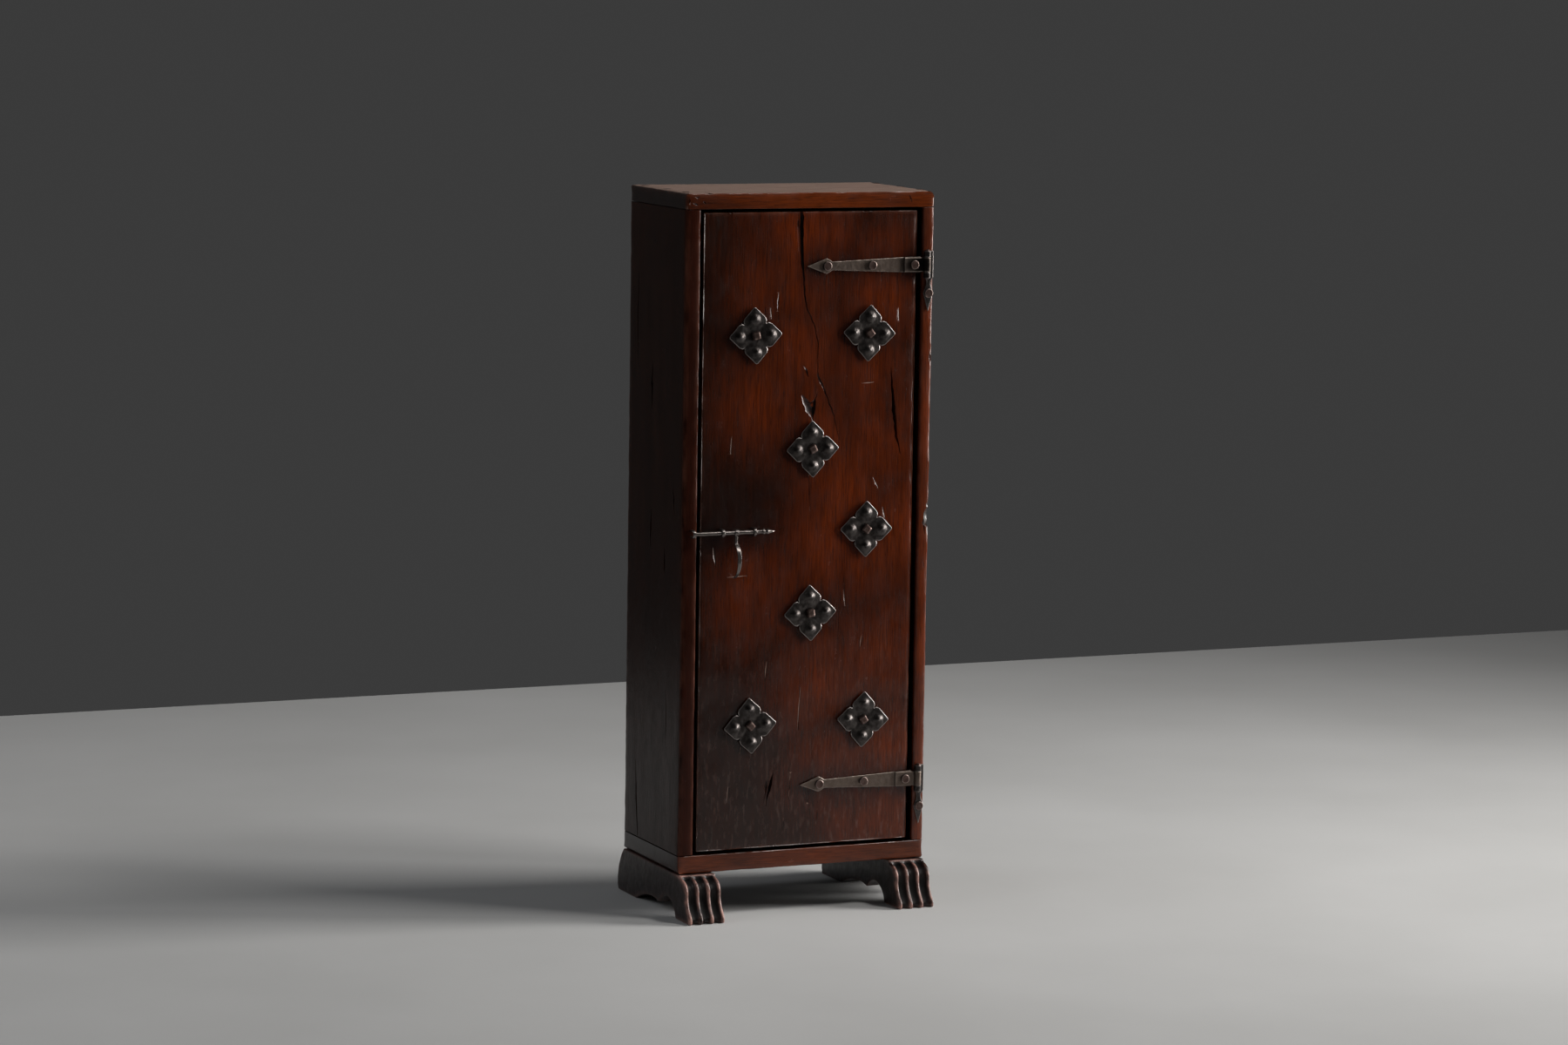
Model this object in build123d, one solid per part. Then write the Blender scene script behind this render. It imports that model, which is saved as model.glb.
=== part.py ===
"""Tall, narrow one-door cupboard of thick planks on two carved sled feet, with forged ironwork.

Millimetres. X runs across the front, Y runs from the front (-Y) to the back, Z is up.
The origin lies on the floor, in the middle of the footprint of the two feet.
"""

import math
import os

from build123d import *

# ---------------------------------------------------------------- driving dimensions: the case
CASE_WIDTH = 390.0
CASE_DEPTH = 214.0
TOTAL_HEIGHT = 1050.0
TOP_BOARD_THICKNESS = 24.0
BOTTOM_BOARD_THICKNESS = 27.0
LEFT_BOARD_THICKNESS = 24.0
RIGHT_BOARD_THICKNESS = 19.0
CASE_CORNER_RADIUS = 8.0
BOARD_ARRIS_RADIUS = 2.5
PLACE_TOLERANCE = 1e-4

# the back: two upright planks let into a rebate that runs right round the case
BACK_THICKNESS = 12.0
BACK_REBATE_WIDTH = 10.0
BACK_CLEARANCE = 1.0
BACK_JOINT_GAP = 1.5

# the inside: loose shelves on nailed cleats
SHELF_COUNT = 3
SHELF_THICKNESS = 18.0
SHELF_ARRIS_RADIUS = 1.2
SHELF_END_CLEARANCE = 0.8
SHELF_BACK_CLEARANCE = 0.6
DOOR_STOP_GAP = 0.5
CLEAT_SIZE = 16.0
CLEAT_SETBACK = 14.0
CLEAT_NOSE = 8.0

# ---------------------------------------------------------------- driving dimensions: the feet
FOOT_HEIGHT = 66.0
FOOT_WIDTH = 57.0
TOE_PROJECTION = 44.0
HEEL_PROJECTION = 24.0
HEEL_BULGE_HEIGHT = 12.0
HEEL_UNDERCUT = 3.0
LEDGE_LENGTH = 5.0
LEDGE_STEP = 3.5
BROW_RUN = 8.0
BROW_SLOPE = 12.0
KNUCKLE_RADIUS = 19.0
KNUCKLE_TURN = 81.0
SHIN_RADIUS = 31.0
SHIN_TURN = 43.0
TOE_RADIUS = 12.0
TOE_TURN = 60.0
CLAW_COUNT = 4
CLAW_GROOVE_WIDTH = 11.0
CLAW_GROOVE_DEPTH = 6.5
CLAW_EDGE_RADIUS = 2.0
ARCH_SETBACK = 11.0
ARCH_FRONT_LENGTH = 62.0
ARCH_FRONT_HEIGHT = 25.0
ARCH_FRONT_CREST = 25.0
ARCH_CUSP_HEIGHT = 12.0
ARCH_REAR_LENGTH = 92.0
ARCH_REAR_HEIGHT = 15.0
ARCH_REAR_CREST = 28.0

# ---------------------------------------------------------------- driving dimensions: the door
DOOR_THICKNESS = 24.0
DOOR_ARRIS_RADIUS = 3.0
DOOR_GAP_LEFT = 3.0
DOOR_GAP_RIGHT = 8.0
DOOR_GAP_TOP = 4.0
DOOR_GAP_BOTTOM = 4.0

# ---------------------------------------------------------------- driving dimensions: the hinges
PLATE_THICKNESS = 2.5
PIN_RADIUS = 2.9
PIN_FIT = 0.06
BARREL_STANDOFF = 0.4
EYE_HEIGHT = 21.0
LEAF_KNUCKLE_HEIGHT = 8.8
KNUCKLE_GAP = 0.4
PIN_HEAD_RADIUS = 4.3
PIN_HEAD_HEIGHT = 2.4
PIN_HEAD_BEVEL = 0.7
PIN_HEAD_BEVEL_RADIUS = 3.4
PIN_HEAD_TOP_RADIUS = 1.5
PIN_END = 1.5
PIN_END_RADIUS = 1.7
TOP_HINGE_DROP = 79.0
BOTTOM_HINGE_RISE = 90.0
STRAP_REACH = 188.0
STRAP_ROOT_WIDTH = 24.0
STRAP_NECK_WIDTH = 12.5
STRAP_LAP = 4.0
STRAP_WRAP_LENGTH = 22.0
SPEAR_LENGTH = 39.0
SPEAR_SHOULDER = 9.0
SPEAR_BARB_RUN = 5.0
SPEAR_BARB_INSET = 2.0
SPEAR_WIDTH = 22.5
STRAP_NAIL_FROM_TIP = (31.0, 102.0, 168.0)
LEAF_STRIP_WIDTH = 5.5
LEAF_WINDOW_GAP = 0.6
LEAF_SPIKE_LENGTH = 28.0
LEAF_SPIKE_HEIGHT = 10.0
LEAF_SPIKE_TIP_HEIGHT = 3.0
LEAF_SPIKE_THICKNESS = 3.0
LEAF_SPIKE_SHIFT = 1.1
LEAF_TAIL_LAP = 1.0
TAIL_NECK_WIDTH = 7.0
TAIL_NECK_DROP = 29.0
TAIL_SPEAR_WIDTH = 15.0
TAIL_NAIL_DROP = 42.0
TAIL_TIP_DROP = 69.0

# ---------------------------------------------------------------- driving dimensions: the rosettes
ROSETTE_DIAGONAL = 84.0
ROSETTE_THICKNESS = 1.6
ROSETTE_NICK_RADIUS = 4.3
ROSETTE_BOSS_OFFSET = 24.0
ROSETTE_BOSS_RADIUS = 10.5
ROSETTE_BOSS_HEIGHT = 5.0
ROSETTE_BOSS_SIDES = 10
ROSETTE_BOSS_STEP = 3.0
ROSETTE_BOSS_STEEP = 36.0
ROSETTE_BOSS_SHALLOW = 62.0
ROSETTE_LEFT_MARGIN = 82.0
ROSETTE_RIGHT_MARGIN = 75.0
ROSETTE_TOP_MARGIN = 177.0
ROSETTE_BOTTOM_MARGIN = 182.0
ROSETTE_MIDDLE_SPACING = 119.5
ROSETTE_MIDDLE_SHIFT = 6.0

# ---------------------------------------------------------------- driving dimensions: the bolt
BOLT_RADIUS = 3.0
BOLT_TIP_RADIUS = 2.1
BOLT_TIP_LENGTH = 1.5
BOLT_STANDOFF = 8.0
BOLT_ABOVE_MIDDLE = 3.0
GUIDE_BAR_WIDTH = 4.0
GUIDE_BAR_THICKNESS = 2.5
GUIDE_CLEARANCE = 0.4
GUIDE_LEG_DEPTH = 14.0
LEFT_GUIDE_INSET = 32.0
GUIDE_SPACING = 50.0
KEEPER_INSET = 10.0
BOLT_OVERREACH = 4.5
BOLT_RELEASE_GAP = 1.0
FINIAL_RADIUS = 4.3
FINIAL_COLLAR = 3.0
FINIAL_NECK_RADIUS = 2.4
FINIAL_NECK_AT = 4.5
FINIAL_BULB_AT = 7.5
FINIAL_TAPER_AT = 16.0
FINIAL_TAPER_RADIUS = 1.9
FINIAL_LENGTH = 19.0
FINIAL_TIP_RADIUS = 0.7
FINIAL_STOP_GAP = 0.4
HANDLE_FROM_LEFT_GUIDE = 21.5
HANDLE_NECK_RADIUS = 2.2
HANDLE_FIT = 0.08
HANDLE_EYE_WIDTH = 6.0
HANDLE_EYE_WALL = 2.2
HANDLE_SIDE_PLAY = 0.3
HANDLE_LUG_WIDTH = 4.0
HANDLE_LUG_LENGTH = 16.0
HANDLE_TONGUE_WIDTH = 6.0
HANDLE_TONGUE_THICKNESS = 2.2
HANDLE_BOW = 15.0
HANDLE_BOW_DROP = 36.0
HANDLE_TIP_DROP = 66.0
HANDLE_TIP_WIDTH = 4.0
HANDLE_DOOR_GAP = 0.5

# ---------------------------------------------------------------- driving dimensions: the nails
PILOT_CLEARANCE = 0.1
NAIL_TIP_WIDTH = 0.9
STRAP_NAIL_HEAD_RADIUS = 6.6
STRAP_NAIL_HEAD_HEIGHT = 3.8
STRAP_NAIL_SHANK = 3.2
STRAP_NAIL_LENGTH = 21.0
ROSETTE_NAIL_HEAD = 12.5
ROSETTE_NAIL_HEAD_TOP = 6.0
ROSETTE_NAIL_HEAD_HEIGHT = 6.5
ROSETTE_NAIL_SHANK = 3.6
ROSETTE_NAIL_LENGTH = 20.0
CASE_NAIL_HEAD = 8.0
CASE_NAIL_HEAD_HEIGHT = 1.8
CASE_NAIL_SHANK = 3.4
CASE_NAIL_LENGTH = 62.0
CASE_NAIL_FRONT_INSET = 32.0
CASE_NAIL_BACK_INSET = 16.0
FOOT_NAIL_LENGTH = 58.0
FOOT_NAIL_INSET = 19.0
FOOT_NAIL_SIDE_INSET = 38.0
BACK_NAIL_HEAD = 6.5
BACK_NAIL_HEAD_HEIGHT = 1.5
BACK_NAIL_SHANK = 2.2
BACK_NAIL_LENGTH = 26.0
CLEAT_NAIL_LENGTH = 28.0
CLEAT_NAIL_INSET = 30.0

# ---------------------------------------------------------------- places worked out from them
case_left = -CASE_WIDTH / 2
case_right = CASE_WIDTH / 2
footprint_depth = TOE_PROJECTION + CASE_DEPTH + HEEL_PROJECTION
case_front = TOE_PROJECTION - footprint_depth / 2
case_back = case_front + CASE_DEPTH
case_bottom = FOOT_HEIGHT
inner_left = case_left + LEFT_BOARD_THICKNESS
inner_right = case_right - RIGHT_BOARD_THICKNESS
inner_bottom = case_bottom + BOTTOM_BOARD_THICKNESS
inner_top = TOTAL_HEIGHT - TOP_BOARD_THICKNESS
back_front = case_back - BACK_THICKNESS

door_left = inner_left + DOOR_GAP_LEFT
door_right = inner_right - DOOR_GAP_RIGHT
door_bottom = inner_bottom + DOOR_GAP_BOTTOM
door_top = inner_top - DOOR_GAP_TOP
door_back = case_front + DOOR_THICKNESS
door_middle_x = (door_left + door_right) / 2
door_middle_z = (door_bottom + door_top) / 2

shelf_front = door_back + DOOR_STOP_GAP
shelf_back = back_front - SHELF_BACK_CLEARANCE
shelf_pitch = (inner_top - inner_bottom + SHELF_THICKNESS) / (SHELF_COUNT + 1)
cleat_front = shelf_front + CLEAT_SETBACK
back_side_nails = SHELF_COUNT + 2

barrel_radius = PIN_RADIUS + PIN_FIT + PLATE_THICKNESS
pin_x = inner_right + barrel_radius
pin_y = case_front - BARREL_STANDOFF - barrel_radius
hinge_heights = {"top": door_top - TOP_HINGE_DROP, "bottom": door_bottom + BOTTOM_HINGE_RISE}
strap_wrap_x = door_right - STRAP_WRAP_LENGTH
leaf_half_height = EYE_HEIGHT / 2 + KNUCKLE_GAP + LEAF_KNUCKLE_HEIGHT
leaf_strip_left = pin_x + barrel_radius + LEAF_WINDOW_GAP
leaf_strip_right = leaf_strip_left + LEAF_STRIP_WIDTH
tail_x = (inner_right + case_right) / 2

bolt_z = door_middle_z + BOLT_ABOVE_MIDDLE
bolt_y = case_front - BOLT_STANDOFF
left_guide_x = door_left + LEFT_GUIDE_INSET
right_guide_x = left_guide_x + GUIDE_SPACING
keeper_x = inner_left - KEEPER_INSET
bolt_tip_x = keeper_x + GUIDE_BAR_WIDTH / 2 + BOLT_RELEASE_GAP
bolt_throw = BOLT_RELEASE_GAP + GUIDE_BAR_WIDTH + BOLT_OVERREACH
finial_x = right_guide_x + GUIDE_BAR_WIDTH / 2 + FINIAL_STOP_GAP + bolt_throw
handle_x = left_guide_x + HANDLE_FROM_LEFT_GUIDE
handle_eye_radius = HANDLE_NECK_RADIUS + HANDLE_FIT + HANDLE_EYE_WALL

rosette_left = door_left + ROSETTE_LEFT_MARGIN
rosette_right = door_right - ROSETTE_RIGHT_MARGIN
rosette_middle = door_middle_x + ROSETTE_MIDDLE_SHIFT
rosette_places = [
    (rosette_left, door_top - ROSETTE_TOP_MARGIN),
    (rosette_right, door_top - ROSETTE_TOP_MARGIN),
    (rosette_middle, door_middle_z + ROSETTE_MIDDLE_SPACING),
    (rosette_right, door_middle_z),
    (rosette_middle, door_middle_z - ROSETTE_MIDDLE_SPACING),
    (rosette_left, door_bottom + ROSETTE_BOTTOM_MARGIN),
    (rosette_right, door_bottom + ROSETTE_BOTTOM_MARGIN),
]


# ---------------------------------------------------------------- small helpers
def block(x_span, y_span, z_span):
    """A box between three pairs of coordinates."""
    spans = (x_span, y_span, z_span)
    size = [max(span) - min(span) for span in spans]
    middle = [(span[0] + span[1]) / 2 for span in spans]
    return Pos(*middle) * Box(*size)


def edges_at(solid, direction, x=None, y=None, z=None):
    """The straight edges along one axis whose middle lies at the given coordinates."""
    wanted = {"X": x, "Y": y, "Z": z}
    chosen = []
    for edge in solid.edges().filter_by(direction):
        middle = edge.center()
        places = {"X": middle.X, "Y": middle.Y, "Z": middle.Z}
        given = [(places[key], value) for key, value in wanted.items() if value is not None]
        if all(math.isclose(place, value, abs_tol=PLACE_TOLERANCE) for place, value in given):
            chosen.append(edge)
    return chosen


def facing_front(x, z, y=None):
    """A plane on the front of the case that looks out at the viewer, with Z of the case upwards."""
    depth = case_front if y is None else y
    return Plane(origin=(x, depth, z), x_dir=(1, 0, 0), z_dir=(0, -1, 0))


def mirrored_outline(points):
    """A closed polygon from its upper half, listed from one end on the centre line to the other."""
    lower = [(u, -v) for u, v in reversed(points) if v > 0]
    return make_face(Polyline(*points, *lower, close=True))


def square_shank(width, length):
    """A forged shank that hangs below its plane and tapers to a blunt tip."""
    taper = math.degrees(math.atan((width - NAIL_TIP_WIDTH) / 2 / length))
    return extrude(Rectangle(width, width), amount=-length, taper=taper)


def pilot_hole(width, length):
    """The hole that a square shank is driven into, with a named clearance all round."""
    side = width + 2 * PILOT_CLEARANCE
    return extrude(Rectangle(side, side), amount=-(length + PILOT_CLEARANCE))


def flush_nail(head, head_height, shank, length):
    """A square-headed nail whose head is let in flush with the wood."""
    sunk = extrude(Rectangle(head, head), amount=-head_height)
    return sunk + Pos(0, 0, -head_height) * square_shank(shank, length - head_height)


def flush_nail_hole(head, head_height, shank, length):
    """The pocket and pilot hole of a flush nail."""
    side = head + 2 * PILOT_CLEARANCE
    pocket = extrude(Rectangle(side, side), amount=-head_height)
    return pocket + pilot_hole(shank, length)


def group(solids):
    """Several separate solids kept together as one piece of the assembly."""
    return Compound([solid for item in solids for solid in item.solids()])


def cut_all(solid, cutters):
    """A solid with each cutter that reaches it taken away."""
    reached = [cutter for cutter in cutters if boxes_meet(solid, cutter)]
    return solid - reached if reached else solid


def boxes_meet(first, second):
    """Whether the bounding boxes of two shapes touch."""
    a, b = first.bounding_box(), second.bounding_box()
    lows = zip(a.min, b.max)
    highs = zip(b.min, a.max)
    return all(low <= high for low, high in lows) and all(low <= high for low, high in highs)


# ---------------------------------------------------------------- nails that hold the case
def case_nail_places():
    """Planes for the nails through the top and bottom boards into the ends of the side boards."""
    depths = (
        case_front + CASE_NAIL_FRONT_INSET,
        (case_front + back_front) / 2,
        back_front - CASE_NAIL_BACK_INSET,
    )
    columns = ((case_left + inner_left) / 2, (case_right + inner_right) / 2)
    top = [Plane(origin=(x, y, TOTAL_HEIGHT), z_dir=(0, 0, 1)) for x in columns for y in depths]
    bottom = [Plane(origin=(x, y, case_bottom), z_dir=(0, 0, -1)) for x in columns for y in depths]
    return top, bottom


def foot_nail_places():
    """Planes for the nails down through the bottom board into the feet."""
    columns = (case_left + FOOT_NAIL_SIDE_INSET, case_right - FOOT_NAIL_SIDE_INSET)
    depths = (door_back + FOOT_NAIL_INSET, back_front - FOOT_NAIL_INSET)
    return [Plane(origin=(x, y, inner_bottom), z_dir=(0, 0, 1)) for x in columns for y in depths]


def shelf_tops():
    """The height of the upper face of each shelf, from the lowest up."""
    return [inner_bottom + shelf_pitch * (level + 1) for level in range(SHELF_COUNT)]


def back_nail_places():
    """Planes for the nails through the back planks, into the rebate and the back edges of the shelves."""
    margin = BACK_REBATE_WIDTH / 2
    outer = (inner_left - margin, inner_right + margin)
    middle_x = (inner_left + inner_right) / 2
    inner = (middle_x - BACK_REBATE_WIDTH, middle_x + BACK_REBATE_WIDTH)
    shelf_rows = [top - SHELF_THICKNESS / 2 for top in shelf_tops()]
    end_rows = [inner_bottom - margin, inner_top + margin]
    side_rows = [inner_bottom + shelf_pitch / 2, *shelf_rows, inner_top - shelf_pitch / 2]
    places = [(x, z) for x in outer for z in side_rows]
    places += [(x, z) for x in inner for z in end_rows + shelf_rows]
    return [Plane(origin=(x, case_back, z), x_dir=(-1, 0, 0), z_dir=(0, 1, 0)) for x, z in places]


def cleat_nail_places(side):
    """Planes for the nails through the cleats of one side, looking into the case."""
    inward, face = (1, inner_left) if side == "left" else (-1, inner_right)
    depths = (cleat_front + CLEAT_NAIL_INSET, shelf_back - CLEAT_NAIL_INSET)
    heights = [top - SHELF_THICKNESS - CLEAT_SIZE / 2 for top in shelf_tops()]
    x = face + inward * CLEAT_SIZE
    return [Plane(origin=(x, y, z), z_dir=(inward, 0, 0)) for z in heights for y in depths]


def case_nail_pair():
    """The nail and the hole used for the corners of the case."""
    sizes = (CASE_NAIL_HEAD, CASE_NAIL_HEAD_HEIGHT, CASE_NAIL_SHANK, CASE_NAIL_LENGTH)
    return flush_nail(*sizes), flush_nail_hole(*sizes)


def foot_nail_pair():
    """The nail and the hole used for the feet."""
    sizes = (CASE_NAIL_HEAD, CASE_NAIL_HEAD_HEIGHT, CASE_NAIL_SHANK, FOOT_NAIL_LENGTH)
    return flush_nail(*sizes), flush_nail_hole(*sizes)


def back_nail_pair():
    """The nail and the hole used for the back planks."""
    sizes = (BACK_NAIL_HEAD, BACK_NAIL_HEAD_HEIGHT, BACK_NAIL_SHANK, BACK_NAIL_LENGTH)
    return flush_nail(*sizes), flush_nail_hole(*sizes)


def cleat_nail_pair():
    """The nail and the hole used for the shelf cleats."""
    sizes = (BACK_NAIL_HEAD, BACK_NAIL_HEAD_HEIGHT, BACK_NAIL_SHANK, CLEAT_NAIL_LENGTH)
    return flush_nail(*sizes), flush_nail_hole(*sizes)


# ---------------------------------------------------------------- the boards of the case
def back_rebate():
    """The room for the back planks, cut from every board that they lap."""
    return block(
        (inner_left - BACK_REBATE_WIDTH, inner_right + BACK_REBATE_WIDTH),
        (back_front, case_back),
        (inner_bottom - BACK_REBATE_WIDTH, inner_top + BACK_REBATE_WIDTH),
    )


def end_board(z_span, outer_z):
    """The top or the bottom board, which runs over the ends of both side boards."""
    board = block((case_left, case_right), (case_front, case_back), z_span)
    corners = edges_at(board, Axis.Y, x=case_left, z=outer_z)
    corners += edges_at(board, Axis.Y, x=case_right, z=outer_z)
    board = fillet(corners, CASE_CORNER_RADIUS)
    front = board.faces().sort_by(Axis.Y)[0]
    board = fillet(front.edges(), BOARD_ARRIS_RADIUS)
    return board - back_rebate()


def side_board(x_outer, x_inner):
    """A side board that stands between the top and bottom boards; its front edge is the stile."""
    board = block((x_outer, x_inner), (case_front, case_back), (inner_bottom, inner_top))
    arrises = edges_at(board, Axis.Z, y=case_front) + edges_at(board, Axis.Z, x=x_outer, y=case_back)
    board = fillet(arrises, BOARD_ARRIS_RADIUS)
    return board - back_rebate()


def make_case_boards():
    """The four boards of the carcase with the holes of everything driven into them."""
    top_nails, bottom_nails = case_nail_places()
    case_hole = case_nail_pair()[1]
    foot_hole = foot_nail_pair()[1]
    back_hole = back_nail_pair()[1]
    cleat_hole = cleat_nail_pair()[1]
    back_holes = [plane * back_hole for plane in back_nail_places()]
    top_holes = [plane * case_hole for plane in top_nails]
    bottom_holes = [plane * case_hole for plane in bottom_nails]
    foot_holes = [plane * foot_hole for plane in foot_nail_places()]
    half = len(top_holes) // 2
    left_back = back_holes[:back_side_nails]
    right_back = back_holes[back_side_nails:2 * back_side_nails]
    end_back = back_holes[2 * back_side_nails:]

    top_board = end_board((inner_top, TOTAL_HEIGHT), TOTAL_HEIGHT)
    bottom_board = end_board((case_bottom, inner_bottom), case_bottom)
    left_side = side_board(case_left, inner_left)
    right_side = side_board(case_right, inner_right)
    left_cleats = [plane * cleat_hole for plane in cleat_nail_places("left")]
    right_cleats = [plane * cleat_hole for plane in cleat_nail_places("right")]
    left_cuts = top_holes[:half] + bottom_holes[:half] + left_back + left_cleats + [keeper_holes()]
    right_cuts = top_holes[half:] + bottom_holes[half:] + right_back + right_cleats + leaf_holes()
    return {
        "top_board": cut_all(top_board, top_holes + end_back),
        "bottom_board": cut_all(bottom_board, bottom_holes + foot_holes + end_back),
        "left_side": cut_all(left_side, left_cuts),
        "right_side": cut_all(right_side, right_cuts),
    }


def make_back_planks():
    """Two upright planks that close the back, with a dry joint between them."""
    middle = (inner_left + inner_right) / 2
    reach = BACK_REBATE_WIDTH - BACK_CLEARANCE
    z_span = (inner_bottom - reach, inner_top + reach)
    holes = [plane * back_nail_pair()[1] for plane in back_nail_places()]
    left = block((inner_left - reach, middle - BACK_JOINT_GAP / 2), (back_front, case_back), z_span)
    right = block((middle + BACK_JOINT_GAP / 2, inner_right + reach), (back_front, case_back), z_span)
    return {"back_plank_left": cut_all(left, holes), "back_plank_right": cut_all(right, holes)}


def make_shelves():
    """Loose shelves whose front edges stop the door, each on a pair of nailed cleats."""
    back_holes = [plane * back_nail_pair()[1] for plane in back_nail_places()]
    cleat_hole = cleat_nail_pair()[1]
    pieces = {}
    for level, top in enumerate(shelf_tops(), start=1):
        board = block(
            (inner_left + SHELF_END_CLEARANCE, inner_right - SHELF_END_CLEARANCE),
            (shelf_front, shelf_back),
            (top - SHELF_THICKNESS, top),
        )
        front_edges = edges_at(board, Axis.X, y=shelf_front)
        pieces[f"shelf_{level}"] = cut_all(fillet(front_edges, SHELF_ARRIS_RADIUS), back_holes)
        z_span = (top - SHELF_THICKNESS - CLEAT_SIZE, top - SHELF_THICKNESS)
        spans = {
            "left": (inner_left, inner_left + CLEAT_SIZE),
            "right": (inner_right - CLEAT_SIZE, inner_right),
        }
        for side, x_span in spans.items():
            cleat = block(x_span, (cleat_front, shelf_back), z_span)
            nose = edges_at(cleat, Axis.X, y=cleat_front, z=z_span[0])
            cleat = chamfer(nose, CLEAT_NOSE)
            holes = [plane * cleat_hole for plane in cleat_nail_places(side)]
            pieces[f"shelf_cleat_{side}_{level}"] = cut_all(cleat, holes)
    return pieces


def make_case_nails():
    """Every nail of the carcase, as four kinds."""
    top_nails, bottom_nails = case_nail_places()
    case_nail = case_nail_pair()[0]
    foot_nail = foot_nail_pair()[0]
    back_nail = back_nail_pair()[0]
    cleat_nail = cleat_nail_pair()[0]
    cleat_planes = cleat_nail_places("left") + cleat_nail_places("right")
    return {
        "top_nails": group([plane * case_nail for plane in top_nails]),
        "bottom_nails": group([plane * case_nail for plane in bottom_nails]),
        "foot_nails": group([plane * foot_nail for plane in foot_nail_places()]),
        "back_nails": group([plane * back_nail for plane in back_nail_places()]),
        "cleat_nails": group([plane * cleat_nail for plane in cleat_planes]),
    }


# ---------------------------------------------------------------- the carved sled feet
def run_of(start, heading, length):
    """A straight run from a point along a heading in degrees."""
    angle = math.radians(heading)
    return Line(start, (start.X + length * math.cos(angle), start.Y + length * math.sin(angle)))


def bend_of(start, heading, radius, turn):
    """An arc that leaves a point along a heading and turns by so many degrees."""
    angle = math.radians(heading)
    return JernArc(start, (math.cos(angle), math.sin(angle)), radius, turn)


def claw_line():
    """The front of the foot from the ledge down: brow, knuckle, hollow shin and toe.

    It is drawn with X forward from the face of the case and Y up.
    """
    heading = -BROW_SLOPE
    brow = run_of(Vector(LEDGE_LENGTH, FOOT_HEIGHT - LEDGE_STEP), heading, BROW_RUN)
    knuckle = bend_of(brow @ 1, heading, KNUCKLE_RADIUS, -KNUCKLE_TURN)
    heading -= KNUCKLE_TURN
    shin = bend_of(knuckle @ 1, heading, SHIN_RADIUS, SHIN_TURN)
    heading += SHIN_TURN
    reach = TOE_RADIUS * (1 + math.sin(math.radians(heading)))
    run_length = (TOE_PROJECTION - (shin @ 1).X - reach) / math.cos(math.radians(heading))
    instep = run_of(shin @ 1, heading, run_length)
    toe = bend_of(instep @ 1, heading, TOE_RADIUS, -TOE_TURN)
    return [brow, knuckle, shin, instep, toe], heading - TOE_TURN


def foot_outline():
    """The side view of a foot: claw, two-lobed arch between the pads, and rounded heel.

    The toe runs on below the floor, where the foot is then cut off level.
    """
    claw, _ = claw_line()
    toe_end = claw[-1] @ 1
    arch_start = -ARCH_SETBACK
    cusp = (arch_start - ARCH_FRONT_LENGTH, ARCH_CUSP_HEIGHT)
    arch_end = cusp[0] - ARCH_REAR_LENGTH
    heel_out = -(CASE_DEPTH + HEEL_PROJECTION)
    heel_floor = heel_out + HEEL_UNDERCUT
    below = -FOOT_HEIGHT
    edges = [
        Polyline((0, FOOT_HEIGHT), (LEDGE_LENGTH, FOOT_HEIGHT), claw[0] @ 0),
        *claw,
        Polyline(toe_end, (toe_end.X, below), (arch_start, below), (arch_start, 0)),
        ThreePointArc((arch_start, 0), (arch_start - ARCH_FRONT_CREST, ARCH_FRONT_HEIGHT), cusp),
        ThreePointArc(cusp, (cusp[0] - ARCH_REAR_CREST, ARCH_REAR_HEIGHT), (arch_end, 0)),
        Line((arch_end, 0), (heel_floor, 0)),
        TangentArc((heel_out, HEEL_BULGE_HEIGHT), (heel_floor, 0), tangent=(0, -1)),
        TangentArc((heel_out, HEEL_BULGE_HEIGHT), (-CASE_DEPTH, FOOT_HEIGHT), tangent=(0, 1)),
        Line((-CASE_DEPTH, FOOT_HEIGHT), (0, FOOT_HEIGHT)),
    ]
    return make_face(edges)


def claw_groove():
    """A round-bottomed groove that follows the claw down to the floor, centred on X = 0 of the foot."""
    claw, heading = claw_line()
    tail = run_of(claw[-1] @ 1, heading, CLAW_GROOVE_DEPTH * 2)
    path = Wire([*claw, tail])
    start = path @ 0
    round_radius = CLAW_GROOVE_WIDTH / 2
    section_plane = Plane(origin=start, x_dir=(0, 0, 1), z_dir=path % 0)
    upright = section_plane.y_dir.Y
    inward = -1 if upright > 0 else 1
    bottom = inward * (CLAW_GROOVE_DEPTH - round_radius)
    outside = -inward * CLAW_GROOVE_DEPTH
    middle = (bottom + outside) / 2
    section = Pos(0, middle) * Rectangle(CLAW_GROOVE_WIDTH, abs(outside - bottom))
    section += Pos(0, bottom) * Circle(round_radius)
    return sweep(section_plane * section, path=path)


def on_claw_side(edge):
    """Whether an edge of the raw foot runs down the side of the claw, below the ledge."""
    middle = edge.center()
    along_side = min(middle.Z, FOOT_WIDTH - middle.Z) < PLACE_TOLERANCE
    return along_side and middle.X > LEDGE_LENGTH and middle.Y > PLACE_TOLERANCE


def make_foot(x_right, nail_holes):
    """One sled foot, whose right side stands at x_right."""
    plane = Plane(origin=(x_right, case_front, 0), x_dir=(0, -1, 0), z_dir=(-1, 0, 0))
    body = extrude(foot_outline(), amount=FOOT_WIDTH)
    body -= block((-CASE_DEPTH, 2 * TOE_PROJECTION), (-2 * FOOT_HEIGHT, 0), (0, FOOT_WIDTH))
    claw_edges = [edge for edge in body.edges() if on_claw_side(edge)]
    body = fillet(claw_edges, CLAW_EDGE_RADIUS)
    claw_pitch = (FOOT_WIDTH + CLAW_GROOVE_WIDTH) / CLAW_COUNT
    groove = claw_groove()
    for index in range(1, CLAW_COUNT):
        body -= Pos(0, 0, index * claw_pitch - CLAW_GROOVE_WIDTH / 2) * groove
    return cut_all(plane * body, nail_holes)


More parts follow.
